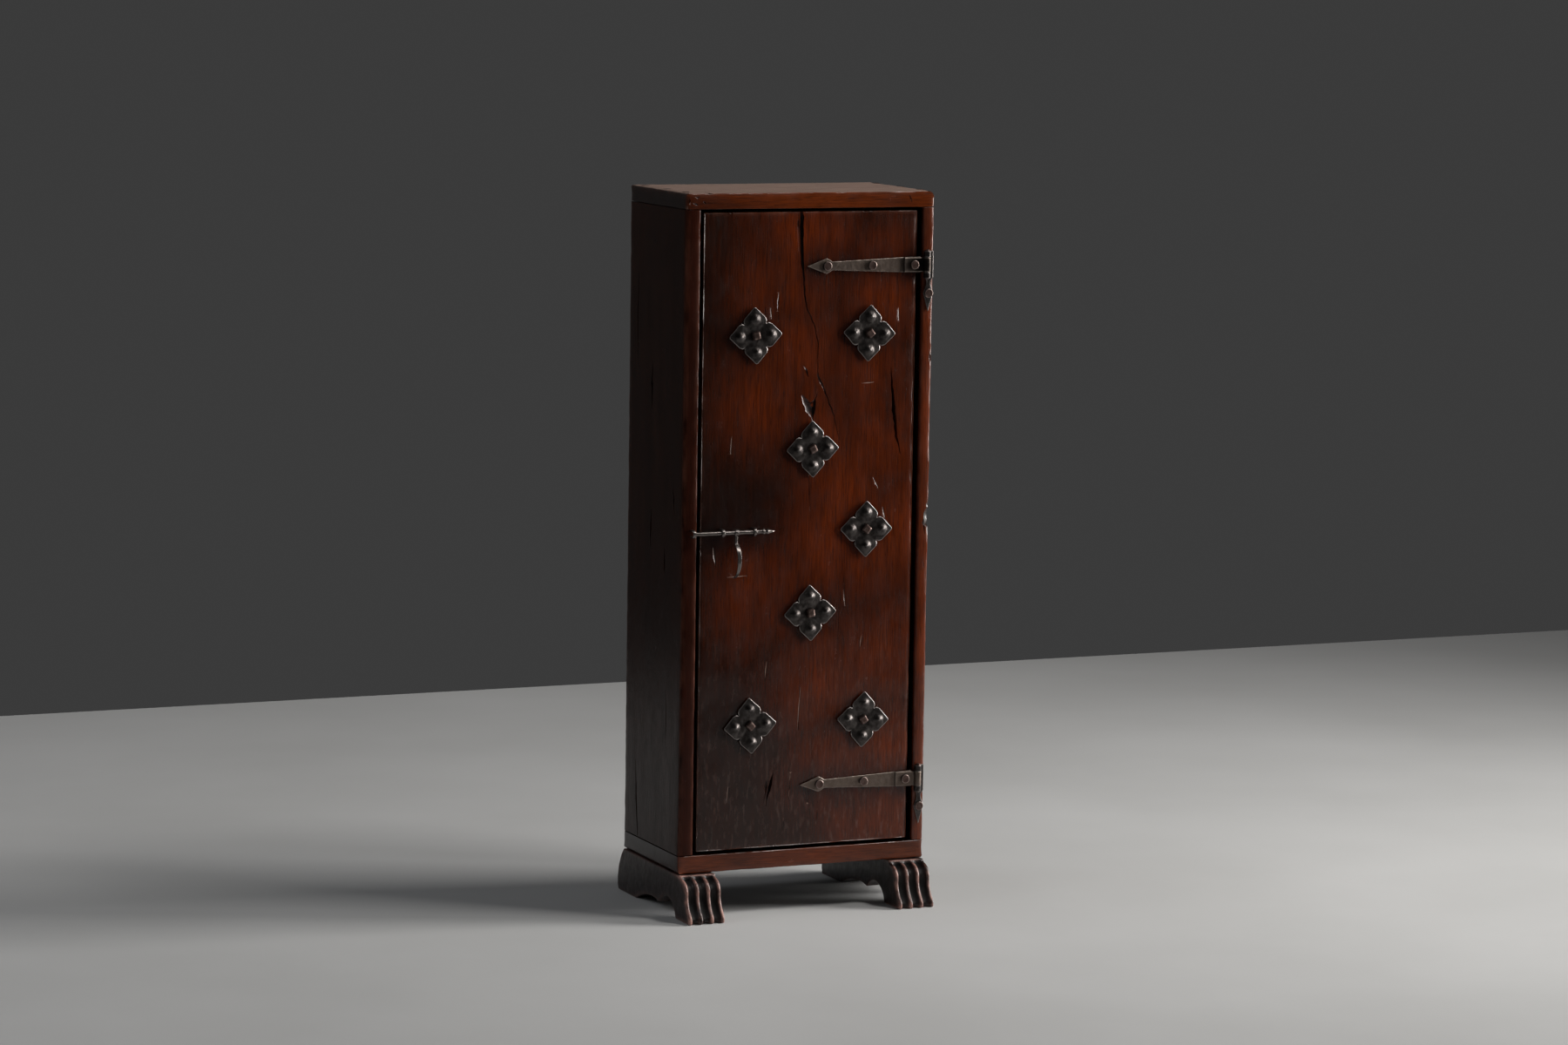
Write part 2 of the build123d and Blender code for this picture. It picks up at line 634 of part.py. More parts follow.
def make_feet():
    """The two feet, alike and flush with the outside of the case."""
    holes = [plane * foot_nail_pair()[1] for plane in foot_nail_places()]
    return {
        "left_foot": make_foot(case_left + FOOT_WIDTH, holes),
        "right_foot": make_foot(case_right, holes),
    }


# ---------------------------------------------------------------- the hinges
def strap_tip_x():
    """Where the point of a strap ends."""
    return pin_x - STRAP_REACH


def strap_nail_places(height):
    """Planes for the three nails of one strap; the last one stands on the wrapped end."""
    places = []
    for along in STRAP_NAIL_FROM_TIP:
        x = strap_tip_x() + along
        layers = 2 if x > strap_wrap_x else 1
        places.append(facing_front(x, height, case_front - layers * PLATE_THICKNESS))
    return places


def strap_nail_holes(height):
    """The pilot holes of one strap, through the iron and into the door."""
    hole = pilot_hole(STRAP_NAIL_SHANK, STRAP_NAIL_LENGTH)
    return [plane * hole for plane in strap_nail_places(height)]


def barrel(z_low, z_high):
    """A rolled knuckle round the pin."""
    height = z_high - z_low
    outside = Cylinder(barrel_radius, height)
    bore = Cylinder(PIN_RADIUS + PIN_FIT, height)
    return Pos(pin_x, pin_y, (z_low + z_high) / 2) * (outside - bore)


def bore_at(z_low, z_high):
    """The room of the pin inside a knuckle."""
    height = z_high - z_low
    return Pos(pin_x, pin_y, (z_low + z_high) / 2) * Cylinder(PIN_RADIUS + PIN_FIT, height)


def make_strap(height):
    """A tapering strap with a spear tip, cranked forward into the eye that turns on the pin.

    The end of the bar comes back round the pin and is welded on the face of the strap.
    """
    tip = strap_tip_x()
    neck = tip + SPEAR_LENGTH
    root = door_right + STRAP_LAP
    half_neck = STRAP_NECK_WIDTH / 2
    half_root = STRAP_ROOT_WIDTH / 2
    half_spear = SPEAR_WIDTH / 2
    wide = neck - SPEAR_SHOULDER
    outline = mirrored_outline(
        [
            (tip, 0),
            (wide, half_spear),
            (wide + SPEAR_BARB_RUN, half_spear - SPEAR_BARB_INSET),
            (neck, half_neck),
            (root, half_root),
            (root, 0),
        ]
    )
    plate = extrude(facing_front(0, height) * outline, amount=PLATE_THICKNESS)
    crank_start = door_right - STRAP_LAP
    crank_end = inner_right - STRAP_LAP / 2
    back = case_front - BARREL_STANDOFF
    section = make_face(
        Polyline(
            (crank_start, case_front),
            (door_right, case_front),
            (crank_end, back),
            (pin_x, back),
            (pin_x, back - 2 * PLATE_THICKNESS),
            (crank_end, back - 2 * PLATE_THICKNESS),
            (door_right, case_front - 2 * PLATE_THICKNESS),
            (strap_wrap_x, case_front - 2 * PLATE_THICKNESS),
            (strap_wrap_x, case_front - PLATE_THICKNESS),
            (crank_start, case_front - PLATE_THICKNESS),
            close=True,
        )
    )
    low, high = height - EYE_HEIGHT / 2, height + EYE_HEIGHT / 2
    crank = Pos(0, 0, low) * extrude(section, amount=EYE_HEIGHT)
    strap = plate + crank + barrel(low, high) - bore_at(low, high)
    return cut_all(strap, strap_nail_holes(height))


def leaf_tail_outline(height):
    """The spear-shaped tail that hangs below the knuckles and is nailed to the stile."""
    half_neck = TAIL_NECK_WIDTH / 2
    half_spear = TAIL_SPEAR_WIDTH / 2
    top = -leaf_half_height
    widest = -TAIL_NAIL_DROP
    points = [
        (tail_x - barrel_radius, top + LEAF_TAIL_LAP),
        (tail_x - half_neck, top - (TAIL_NECK_DROP + top) / 2),
        (tail_x - half_neck, -TAIL_NECK_DROP),
        (tail_x - half_spear, widest),
        (tail_x, -TAIL_TIP_DROP),
        (tail_x + half_spear, widest),
        (tail_x + half_neck, -TAIL_NECK_DROP),
        (tail_x + half_neck, top - (TAIL_NECK_DROP + top) / 2),
        (leaf_strip_right, top + LEAF_TAIL_LAP),
    ]
    return facing_front(0, height) * make_face(Polyline(*points, close=True))


def leaf_spike(clearance):
    """The flat spike behind the strip of the leaf, driven into the front edge of the stile."""
    half_low = LEAF_SPIKE_HEIGHT / 2 + clearance
    half_tip = LEAF_SPIKE_TIP_HEIGHT / 2 + clearance
    length = LEAF_SPIKE_LENGTH + clearance
    points = [(0, -half_low), (0, half_low), (length, half_tip), (length, -half_tip)]
    profile = make_face(Polyline(*points, close=True))
    side = Plane(origin=(0, 0, 0), x_dir=(0, 1, 0), z_dir=(1, 0, 0))
    thickness = LEAF_SPIKE_THICKNESS + 2 * clearance
    return side * extrude(profile, amount=thickness / 2, both=True)


def leaf_spike_place(height):
    """Where the spike of one leaf stands."""
    return Pos((leaf_strip_left + leaf_strip_right) / 2 - LEAF_SPIKE_SHIFT, case_front, height)


def tail_nail_place(height):
    """The plane of the nail in the tail of one leaf."""
    return facing_front(tail_x, height - TAIL_NAIL_DROP, case_front - PLATE_THICKNESS)


def leaf_holes():
    """What the two leaves and their nails need in the right side board."""
    cuts = []
    for height in hinge_heights.values():
        cuts.append(leaf_spike_place(height) * leaf_spike(PILOT_CLEARANCE))
        cuts.append(tail_nail_place(height) * pilot_hole(STRAP_NAIL_SHANK, STRAP_NAIL_LENGTH))
    return cuts


def make_leaf(height):
    """The fixed half of a hinge: two knuckles joined by a strip beside the eye, with tail and spike."""
    plate_back, plate_front = case_front, case_front - PLATE_THICKNESS
    low, high = height - leaf_half_height, height + leaf_half_height
    strip = block((leaf_strip_left, leaf_strip_right), (plate_front, plate_back), (low, high))
    leaf = strip + extrude(leaf_tail_outline(height), amount=PLATE_THICKNESS)
    for z_low, z_high in ((low, low + LEAF_KNUCKLE_HEIGHT), (high - LEAF_KNUCKLE_HEIGHT, high)):
        tab = block((pin_x, leaf_strip_left), (plate_front, plate_back), (z_low, z_high))
        leaf = leaf + tab + barrel(z_low, z_high) - bore_at(z_low, z_high)
    leaf += leaf_spike_place(height) * leaf_spike(0)
    return leaf - tail_nail_place(height) * pilot_hole(STRAP_NAIL_SHANK, STRAP_NAIL_LENGTH)


def make_pin(height):
    """The pin of a hinge, dropped in from above: a hammered head and a blunt lower end."""
    half = leaf_half_height
    head_top = half + PIN_HEAD_HEIGHT
    profile = make_face(
        Polyline(
            (0, -half - PIN_END),
            (PIN_END_RADIUS, -half - PIN_END),
            (PIN_RADIUS, -half),
            (PIN_RADIUS, half),
            (PIN_HEAD_RADIUS, half),
            (PIN_HEAD_BEVEL_RADIUS, head_top - PIN_HEAD_BEVEL),
            (PIN_HEAD_TOP_RADIUS, head_top),
            (0, head_top),
            close=True,
        )
    )
    return Pos(pin_x, pin_y, height) * revolve(Plane.XZ * profile, axis=Axis.Z)


def domed_nail():
    """A nail with a hammered dome of a head."""
    rim, rise = STRAP_NAIL_HEAD_RADIUS, STRAP_NAIL_HEAD_HEIGHT
    ball_radius = (rim**2 + rise**2) / (2 * rise)
    ball = Pos(0, 0, rise - ball_radius) * Sphere(ball_radius)
    head = ball & block((-rim, rim), (-rim, rim), (0, rise))
    return head + square_shank(STRAP_NAIL_SHANK, STRAP_NAIL_LENGTH)


def make_hinges():
    """Both strap hinges with their leaves, pins and nails."""
    nail = domed_nail()
    pieces = {}
    strap_nails, tail_nails = [], []
    for name, height in hinge_heights.items():
        pieces[f"hinge_strap_{name}"] = make_strap(height)
        pieces[f"hinge_leaf_{name}"] = make_leaf(height)
        pieces[f"hinge_pin_{name}"] = make_pin(height)
        strap_nails += [plane * nail for plane in strap_nail_places(height)]
        tail_nails.append(tail_nail_place(height) * nail)
    pieces["hinge_strap_nails"] = group(strap_nails)
    pieces["hinge_leaf_nails"] = group(tail_nails)
    return pieces


# ---------------------------------------------------------------- the rosettes
def rosette_face():
    """How far the nail head of a rosette stands from the door."""
    return case_front - ROSETTE_THICKNESS


def make_rosette():
    """A plate set square on its corner, nicked in the middle of each side, with a boss in each lobe."""
    side = ROSETTE_DIAGONAL / math.sqrt(2)
    outline = Rot(0, 0, 45) * Rectangle(side, side)
    nick = Pos(side / 2, 0) * Circle(ROSETTE_NICK_RADIUS)
    outline -= [Rot(0, 0, 45 + 90 * turn) * nick for turn in range(4)]
    plate = extrude(outline, amount=ROSETTE_THICKNESS)
    lower = RegularPolygon(ROSETTE_BOSS_RADIUS, ROSETTE_BOSS_SIDES)
    boss = extrude(lower, amount=ROSETTE_BOSS_STEP, taper=ROSETTE_BOSS_STEEP)
    crown = boss.faces().sort_by(Axis.Z)[-1]
    boss += extrude(crown, amount=ROSETTE_BOSS_HEIGHT - ROSETTE_BOSS_STEP, taper=ROSETTE_BOSS_SHALLOW)
    for turn in range(4):
        plate += Rot(0, 0, 90 * turn) * Pos(ROSETTE_BOSS_OFFSET, 0, ROSETTE_THICKNESS) * boss
    return plate - Pos(0, 0, ROSETTE_THICKNESS) * pilot_hole(ROSETTE_NAIL_SHANK, ROSETTE_NAIL_LENGTH)


def make_rosette_nail():
    """A forged nail with a square, faceted head."""
    slope = (ROSETTE_NAIL_HEAD - ROSETTE_NAIL_HEAD_TOP) / 2 / ROSETTE_NAIL_HEAD_HEIGHT
    head = extrude(
        Rectangle(ROSETTE_NAIL_HEAD, ROSETTE_NAIL_HEAD),
        amount=ROSETTE_NAIL_HEAD_HEIGHT,
        taper=math.degrees(math.atan(slope)),
    )
    return head + square_shank(ROSETTE_NAIL_SHANK, ROSETTE_NAIL_LENGTH)


def rosette_nail_holes():
    """The pilot holes of the rosettes in the door."""
    hole = pilot_hole(ROSETTE_NAIL_SHANK, ROSETTE_NAIL_LENGTH)
    return [facing_front(x, z, rosette_face()) * hole for x, z in rosette_places]


def make_rosettes():
    """Seven rosettes and the nail in the middle of each."""
    rosette = make_rosette()
    nail = make_rosette_nail()
    pieces = {}
    for number, (x, z) in enumerate(rosette_places, start=1):
        pieces[f"rosette_{number}"] = facing_front(x, z) * rosette
    pieces["rosette_nails"] = group([facing_front(x, z, rosette_face()) * nail for x, z in rosette_places])
    return pieces


# ---------------------------------------------------------------- the bolt
def staple(x, clearance=0.0):
    """A U of flat bar round the bolt, with two legs driven into the wood."""
    inner = BOLT_RADIUS + GUIDE_CLEARANCE - clearance
    outer = BOLT_RADIUS + GUIDE_CLEARANCE + GUIDE_BAR_THICKNESS + clearance
    depth = BOLT_STANDOFF + GUIDE_LEG_DEPTH + clearance
    ring = Circle(outer) - Circle(inner)
    front_half = ring & Pos(-outer, 0) * Rectangle(2 * outer, 2 * outer)
    middle = (inner + outer) / 2
    legs = [Pos(depth / 2, side * middle) * Rectangle(depth, outer - inner) for side in (-1, 1)]
    profile = front_half + legs
    plane = Plane(origin=(x, bolt_y, bolt_z), x_dir=(0, 1, 0), z_dir=(1, 0, 0))
    return extrude(plane * profile, amount=GUIDE_BAR_WIDTH / 2 + clearance, both=True)


def keeper_holes():
    """The holes of the keeper in the front edge of the left side board."""
    return staple(keeper_x, PILOT_CLEARANCE)


def make_bolt_rod():
    """The sliding bolt: a blunt tip, a neck for the handle, and a finial that stops it in the guide."""
    neck_half = HANDLE_EYE_WIDTH / 2 + HANDLE_SIDE_PLAY
    end = finial_x + FINIAL_LENGTH
    profile = make_face(
        Polyline(
            (bolt_tip_x, 0),
            (bolt_tip_x, BOLT_TIP_RADIUS),
            (bolt_tip_x + BOLT_TIP_LENGTH, BOLT_RADIUS),
            (handle_x - neck_half, BOLT_RADIUS),
            (handle_x - neck_half, HANDLE_NECK_RADIUS),
            (handle_x + neck_half, HANDLE_NECK_RADIUS),
            (handle_x + neck_half, BOLT_RADIUS),
            (finial_x, BOLT_RADIUS),
            (finial_x, FINIAL_RADIUS),
            (finial_x + FINIAL_COLLAR, FINIAL_RADIUS),
            (finial_x + FINIAL_NECK_AT, FINIAL_NECK_RADIUS),
            (finial_x + FINIAL_BULB_AT, FINIAL_RADIUS),
            (finial_x + FINIAL_TAPER_AT, FINIAL_TAPER_RADIUS),
            (end, FINIAL_TIP_RADIUS),
            (end, 0),
            close=True,
        )
    )
    return Pos(0, bolt_y, bolt_z) * revolve(profile, axis=Axis.X)


def handle_bow():
    """The side view of the tongue below its lug: bowed away from the door and back towards it.

    It is drawn with X away from the door and Y up, from the axis of the bolt.
    """
    tip_out = -(BOLT_STANDOFF - HANDLE_DOOR_GAP)
    start = (-HANDLE_TONGUE_THICKNESS / 2, -HANDLE_LUG_LENGTH)
    crest = (HANDLE_BOW - HANDLE_TONGUE_THICKNESS, -HANDLE_BOW_DROP)
    tip = (tip_out, -HANDLE_TIP_DROP)
    thick = HANDLE_TONGUE_THICKNESS
    inner = ThreePointArc(start, crest, tip)
    outer_start = (start[0] + thick, start[1])
    outer_crest = (crest[0] + thick, crest[1])
    outer_tip = (tip[0] + thick, tip[1] - thick / 2)
    outer = ThreePointArc(outer_start, outer_crest, outer_tip)
    return make_face([inner, Line(tip, outer_tip), outer, Line(start, outer_start)])


def make_bolt_handle():
    """The drop handle: an eye round the neck of the bolt, a narrow lug and a bowed tongue."""
    side = Plane(origin=(0, 0, 0), x_dir=(0, -1, 0), z_dir=(-1, 0, 0))
    eye = Circle(handle_eye_radius) - Circle(HANDLE_NECK_RADIUS + HANDLE_FIT)
    eye = extrude(side * eye, amount=HANDLE_EYE_WIDTH / 2, both=True)
    lug_top = -(HANDLE_NECK_RADIUS + HANDLE_FIT + HANDLE_EYE_WALL / 2)
    lug = block(
        (-HANDLE_LUG_WIDTH / 2, HANDLE_LUG_WIDTH / 2),
        (-HANDLE_TONGUE_THICKNESS / 2, HANDLE_TONGUE_THICKNESS / 2),
        (-HANDLE_LUG_LENGTH - HANDLE_TONGUE_THICKNESS / 2, lug_top),
    )
    bow = extrude(side * handle_bow(), amount=HANDLE_TONGUE_WIDTH / 2, both=True)
    half_tongue, half_tip = HANDLE_TONGUE_WIDTH / 2, HANDLE_TIP_WIDTH / 2
    tongue_top = -HANDLE_LUG_LENGTH + HANDLE_TONGUE_THICKNESS
    tongue_end = -HANDLE_TIP_DROP - HANDLE_TONGUE_THICKNESS
    taper = make_face(
        Polyline(
            (-half_tongue, tongue_top),
            (half_tongue, tongue_top),
            (half_tongue, -HANDLE_BOW_DROP),
            (half_tip, tongue_end),
            (-half_tip, tongue_end),
            (-half_tongue, -HANDLE_BOW_DROP),
            close=True,
        )
    )
    reach = HANDLE_BOW + BOLT_STANDOFF
    bow = bow & extrude(Plane.XZ * taper, amount=reach, both=True)
    return Pos(handle_x, bolt_y, bolt_z) * (eye + lug + bow)


def make_bolt():
    """The keeper on the stile, the guides on the door, the rod and its handle."""
    return {
        "bolt_keeper": staple(keeper_x),
        "bolt_guide_left": staple(left_guide_x),
        "bolt_guide_right": staple(right_guide_x),
        "bolt_rod": make_bolt_rod(),
        "bolt_handle": make_bolt_handle(),
    }


# ---------------------------------------------------------------- the door
def make_door():
    """The door: one thick plank, eased all round its face, with the holes of its ironwork."""
    door = block((door_left, door_right), (case_front, door_back), (door_bottom, door_top))
    front = door.faces().sort_by(Axis.Y)[0]
    door = fillet(front.edges(), DOOR_ARRIS_RADIUS)
    holes = rosette_nail_holes()
    for height in hinge_heights.values():
        holes += strap_nail_holes(height)
    holes += [staple(x, PILOT_CLEARANCE) for x in (left_guide_x, right_guide_x)]
    return {"door_panel": cut_all(door, holes)}


# ---------------------------------------------------------------- the whole cupboard
def make_parts():
    """Every piece of the cupboard by name."""
    parts = {}
    for maker in (
        make_case_boards,
        make_back_planks,
        make_shelves,
        make_feet,
        make_case_nails,
        make_door,
        make_hinges,
        make_rosettes,
        make_bolt,
    ):
        parts.update(maker())
    return parts


os.makedirs("parts", exist_ok=True)
for node, shape in make_parts().items():
    export_step(shape, f"parts/{node}.step")
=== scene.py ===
# %% [markdown]
# # A tall plank cupboard with forged ironwork
# The real thing is a narrow, hand-made cupboard of old hardwood planks, waxed so often that the
# wood has gone deep red and the edges shine. One thick door hangs on two forged strap hinges,
# seven iron rosettes are nailed to it, and two carved feet run under it from front to back.
# The solid model comes first and fixes every size and place. This lesson dresses it: each
# plank, foot and iron is shaped again with its dents, cracks and rounded edges.

# %% Load the fixed frame
import math

import bmesh
import bpy
import numpy as np
from mathutils import Matrix, Vector, noise


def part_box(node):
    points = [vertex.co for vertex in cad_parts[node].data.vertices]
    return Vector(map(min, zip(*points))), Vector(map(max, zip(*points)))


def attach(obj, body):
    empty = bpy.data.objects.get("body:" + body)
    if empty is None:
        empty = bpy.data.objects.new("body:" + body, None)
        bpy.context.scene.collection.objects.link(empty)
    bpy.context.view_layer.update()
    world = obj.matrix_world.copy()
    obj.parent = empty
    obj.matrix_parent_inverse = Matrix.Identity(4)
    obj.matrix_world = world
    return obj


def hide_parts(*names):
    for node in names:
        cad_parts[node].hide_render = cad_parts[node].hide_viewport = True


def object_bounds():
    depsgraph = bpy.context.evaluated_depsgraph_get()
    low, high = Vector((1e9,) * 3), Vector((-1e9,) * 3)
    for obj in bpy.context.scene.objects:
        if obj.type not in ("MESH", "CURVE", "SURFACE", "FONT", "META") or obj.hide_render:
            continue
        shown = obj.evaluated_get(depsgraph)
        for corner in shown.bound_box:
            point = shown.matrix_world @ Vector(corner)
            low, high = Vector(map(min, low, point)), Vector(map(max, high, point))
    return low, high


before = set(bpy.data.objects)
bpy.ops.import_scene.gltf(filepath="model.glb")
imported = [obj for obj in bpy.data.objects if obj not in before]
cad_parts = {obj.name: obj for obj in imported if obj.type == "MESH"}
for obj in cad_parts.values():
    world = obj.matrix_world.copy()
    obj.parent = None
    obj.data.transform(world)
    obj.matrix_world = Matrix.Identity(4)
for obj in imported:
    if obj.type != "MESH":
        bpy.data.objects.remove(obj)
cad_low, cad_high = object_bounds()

MM = 0.001
X, Y, Z = 0, 1, 2
print("solid model from", [round(v, 4) for v in cad_low], "to", [round(v, 4) for v in cad_high])

# %% [markdown]
# ## Floor, light and camera
# Dark wood and iron only read well under light that grazes them. The main lamp is as tall and
# narrow as a window. It stands far out on the right, hardly in front of the door, and reaches
# down to the floor: an upright edge mirrors what lies level with it, and so each right-hand
# edge gets a thin bright line. Its narrow spread keeps the floor close to it from burning out.
# A small lamp high on the right does the same for the level edges, and a weak lamp on the left
# and a dim grey sky keep the left side open. The floor ends not far in front, since wax is a
# mirror and would take on its grey, and the standard view keeps the dark reds as deep as they
# are mixed. The camera is placed by its own position, its target and a small roll, because a
# tripod on a real floor is never quite level.

# %% Floor
FLOOR_FRONT, FLOOR_BACK, FLOOR_SIDE = -1.8, 1.9, 6.0
bpy.ops.object.select_all(action="DESELECT")
bpy.ops.mesh.primitive_plane_add(size=1.0, location=(0, (FLOOR_FRONT + FLOOR_BACK) / 2, 0))
floor = bpy.context.active_object
floor.scale = (2 * FLOOR_SIDE, FLOOR_BACK - FLOOR_FRONT, 1)
bpy.ops.object.transform_apply(location=True, rotation=True, scale=True)
floor.name = "floor"
print("floor", 2 * FLOOR_SIDE, "m wide and", round(FLOOR_BACK - FLOOR_FRONT, 2), "m deep")

# %% Camera
CAMERA_PLACE = Vector((-2.77586, -6.3278, 1.4554))
CAMERA_TARGET = Vector((0.0105, 0.010, 0.5583))
CAMERA_ROLL = math.radians(0.875)
CAMERA_LENS = 109.28

ahead = (CAMERA_TARGET - CAMERA_PLACE).normalized()
level = ahead.cross(Vector((0, 0, 1))).normalized()
upright = level.cross(ahead)
right = math.cos(CAMERA_ROLL) * level + math.sin(CAMERA_ROLL) * upright
above = math.cos(CAMERA_ROLL) * upright - math.sin(CAMERA_ROLL) * level
camera_data = bpy.data.cameras.new("camera")
camera_data.lens = CAMERA_LENS
camera_data.sensor_width = 36.0
camera_data.clip_end = 100.0
camera = bpy.data.objects.new("camera", camera_data)
bpy.context.scene.collection.objects.link(camera)
turn = Matrix((right, above, -ahead)).transposed()
camera.matrix_world = Matrix.Translation(CAMERA_PLACE) @ turn.to_4x4()
bpy.context.scene.camera = camera
print("camera", round((CAMERA_TARGET - CAMERA_PLACE).length, 3), "m away")

# %% Lamps and sky
def soft_lamp(name, place, aim, width, height, watts, tint, spread=180):
    """A rectangular area lamp that looks at a point; a small spread narrows its beam."""
    data = bpy.data.lights.new(name, "AREA")
    data.shape = "RECTANGLE"
    data.size = width
    data.size_y = height
    data.energy = watts
    data.color = tint
    data.spread = math.radians(spread)
    lamp = bpy.data.objects.new(name, data)
    bpy.context.scene.collection.objects.link(lamp)
    lamp.location = place
    lamp.rotation_euler = (Vector(aim) - Vector(place)).to_track_quat("-Z", "Y").to_euler()
    print(f"{name}: {watts} W, {width} by {height} m")


WARM_WHITE, COOL_WHITE = (1.0, 0.98, 0.95), (0.93, 0.96, 1.0)
SKY_GREY, SKY_STRENGTH = (0.43, 0.43, 0.43, 1.0), 0.10
soft_lamp("window", (3.6, -1.05, 1.4), (0.0, 0.0, 0.9), 1.2, 2.5, 76.0, WARM_WHITE, spread=100)
soft_lamp("high_soft", (1.9, -1.5, 3.8), (0.0, 0.0, 0.7), 0.8, 0.8, 52.0, WARM_WHITE)
soft_lamp("left_fill", (-3.2, 0.5, 3.0), (0.0, 0.0, 0.8), 2.0, 2.0, 22.0, COOL_WHITE)
sky = bpy.data.worlds.new("sky")
sky.use_nodes = True
sky_light = sky.node_tree.nodes["Background"].inputs
sky_light["Color"].default_value = SKY_GREY
sky_light["Strength"].default_value = SKY_STRENGTH
bpy.context.scene.world = sky
bpy.context.scene.view_settings.view_transform = "Standard"

# %% [markdown]
# ## Materials
# Each material starts from what the real thing is: old waxed hardwood, sawn softwood that was
# never finished, forged iron, and a pale plastered floor. The patterns are procedural, read
# the object's own coordinates in metres, and take their scale from real sizes: 9 mm from one
# growth ring to the next, as in a tree that grew fast, pores 1.3 mm wide, hammer marks 7 mm
# across. One helper adds a node, sets what it is given and links what it is given. Another
# lays colours over a ground, as stain, dirt and wear lie over wood.

# %% Colours and the node helper
def linear(hex_colour):
    """An sRGB hex colour as linear RGBA."""
    channels = [int(hex_colour[i:i + 2], 16) / 255 for i in (1, 3, 5)]
    return (*[c / 12.92 if c <= 0.04045 else ((c + 0.055) / 1.055) ** 2.4 for c in channels], 1.0)


def add(tree, kind, inputs=None, **settings):
    """Adds a node of one kind with its settings, values and links."""
    node = tree.nodes.new("ShaderNode" + kind)
    for name, value in settings.items():
        setattr(node, name, value)
    for socket, value in (inputs or {}).items():
        if isinstance(value, bpy.types.NodeSocket):
            tree.links.new(value, node.inputs[socket])
        else:
            node.inputs[socket].default_value = value
    return node


def start_material(name):
    """A new node material, its tree, its principled shader and the object coordinates."""
    material = bpy.data.materials.new(name)
    material.use_nodes = True
    tree = material.node_tree
    shader = tree.nodes["Principled BSDF"]
    place = tree.nodes.new("ShaderNodeTexCoord").outputs["Object"]
    return material, tree, shader, place


def coated(tree, ground, coats):
    """A ground colour with coats laid over it; a colour is a hex value or a socket.

    A coat is its colour and one or more amounts, whose product is how much of it shows.
    """
    for colour, share, *others in coats:
        for other in others:
            share = add(tree, "Math", {0: share, 1: other}, operation="MULTIPLY").outputs[0]
        ground, colour = [linear(c) if isinstance(c, str) else c for c in (ground, colour)]
        ground = add(tree, "Mix", {0: share, 6: ground, 7: colour}, data_type="RGBA").outputs[2]
    return ground


def squeezed(grain, share):
    """A scale that squeezes coordinates along one axis, so a pattern is drawn out that way."""
    scale = [1.0, 1.0, 1.0]
    scale[grain] = share
    return scale


# %% [markdown]
# ### Waxed hardwood
# The plank shows several patterns at once. Growth rings are cylinders round the pith of the
# tree, so a flat cut through them gives long arches: a ring-shaped wave whose coordinates are
# squeezed along the grain gives the same figure, here very faint under the wax. Streaks and
# pores are noise squeezed much harder. Broad clouds of tone and a few warm places keep a tall
# board from looking printed; the warm places lie mostly on the lamp's side of the door, so
# they are partly the wood's own tone and partly painted light. Iron turns such wood black with
# time, so there is a dark bloom close round each fitting. Old wax has a low IOR and a thin,
# even shine. The arrises are painted paler, partly as wear and partly as painted highlights;
# cracks are painted dark, partly as dirt and partly as painted shade; the top is painted
# paler, partly as dust and partly as a painted sheen; the foot of the door is scuffed, and the
# back of the door was never waxed. The pores are drawn about twice as wide as real ones,
# because real ones are too fine to show.

# %% Waxed hardwood
RING_SPACING = 9 * MM
STREAK_WIDTH = 2.1 * MM
PORE_WIDTH = 1.3 * MM
MOTTLE_SIZE = 16 * MM
CLOUD_SIZE = 75 * MM
SCUFF_SIZE = 5 * MM
WARM_AND_LIT_REACH = 140 * MM
BLOOM_REACH = 52 * MM
SCUFFS_END = 100 * MM
door_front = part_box("door_panel")[0].y


def nearness(tree, place, spots, reach):
    """1 at each of several spots, falling to 0 at a distance; one output for all of them."""
    nearest = None
    for spot in spots:
        away = add(tree, "VectorMath", {0: place, 1: spot}, operation="DISTANCE").outputs["Value"]
        if nearest is not None:
            away = add(tree, "Math", {0: away, 1: nearest}, operation="MINIMUM").outputs[0]
        nearest = away
    fall = {"Value": nearest, "From Min": reach, "From Max": 0.0, "To Min": 0.0, "To Max": 1.0}
    return add(tree, "MapRange", fall, interpolation_type="SMOOTHSTEP").outputs["Result"]


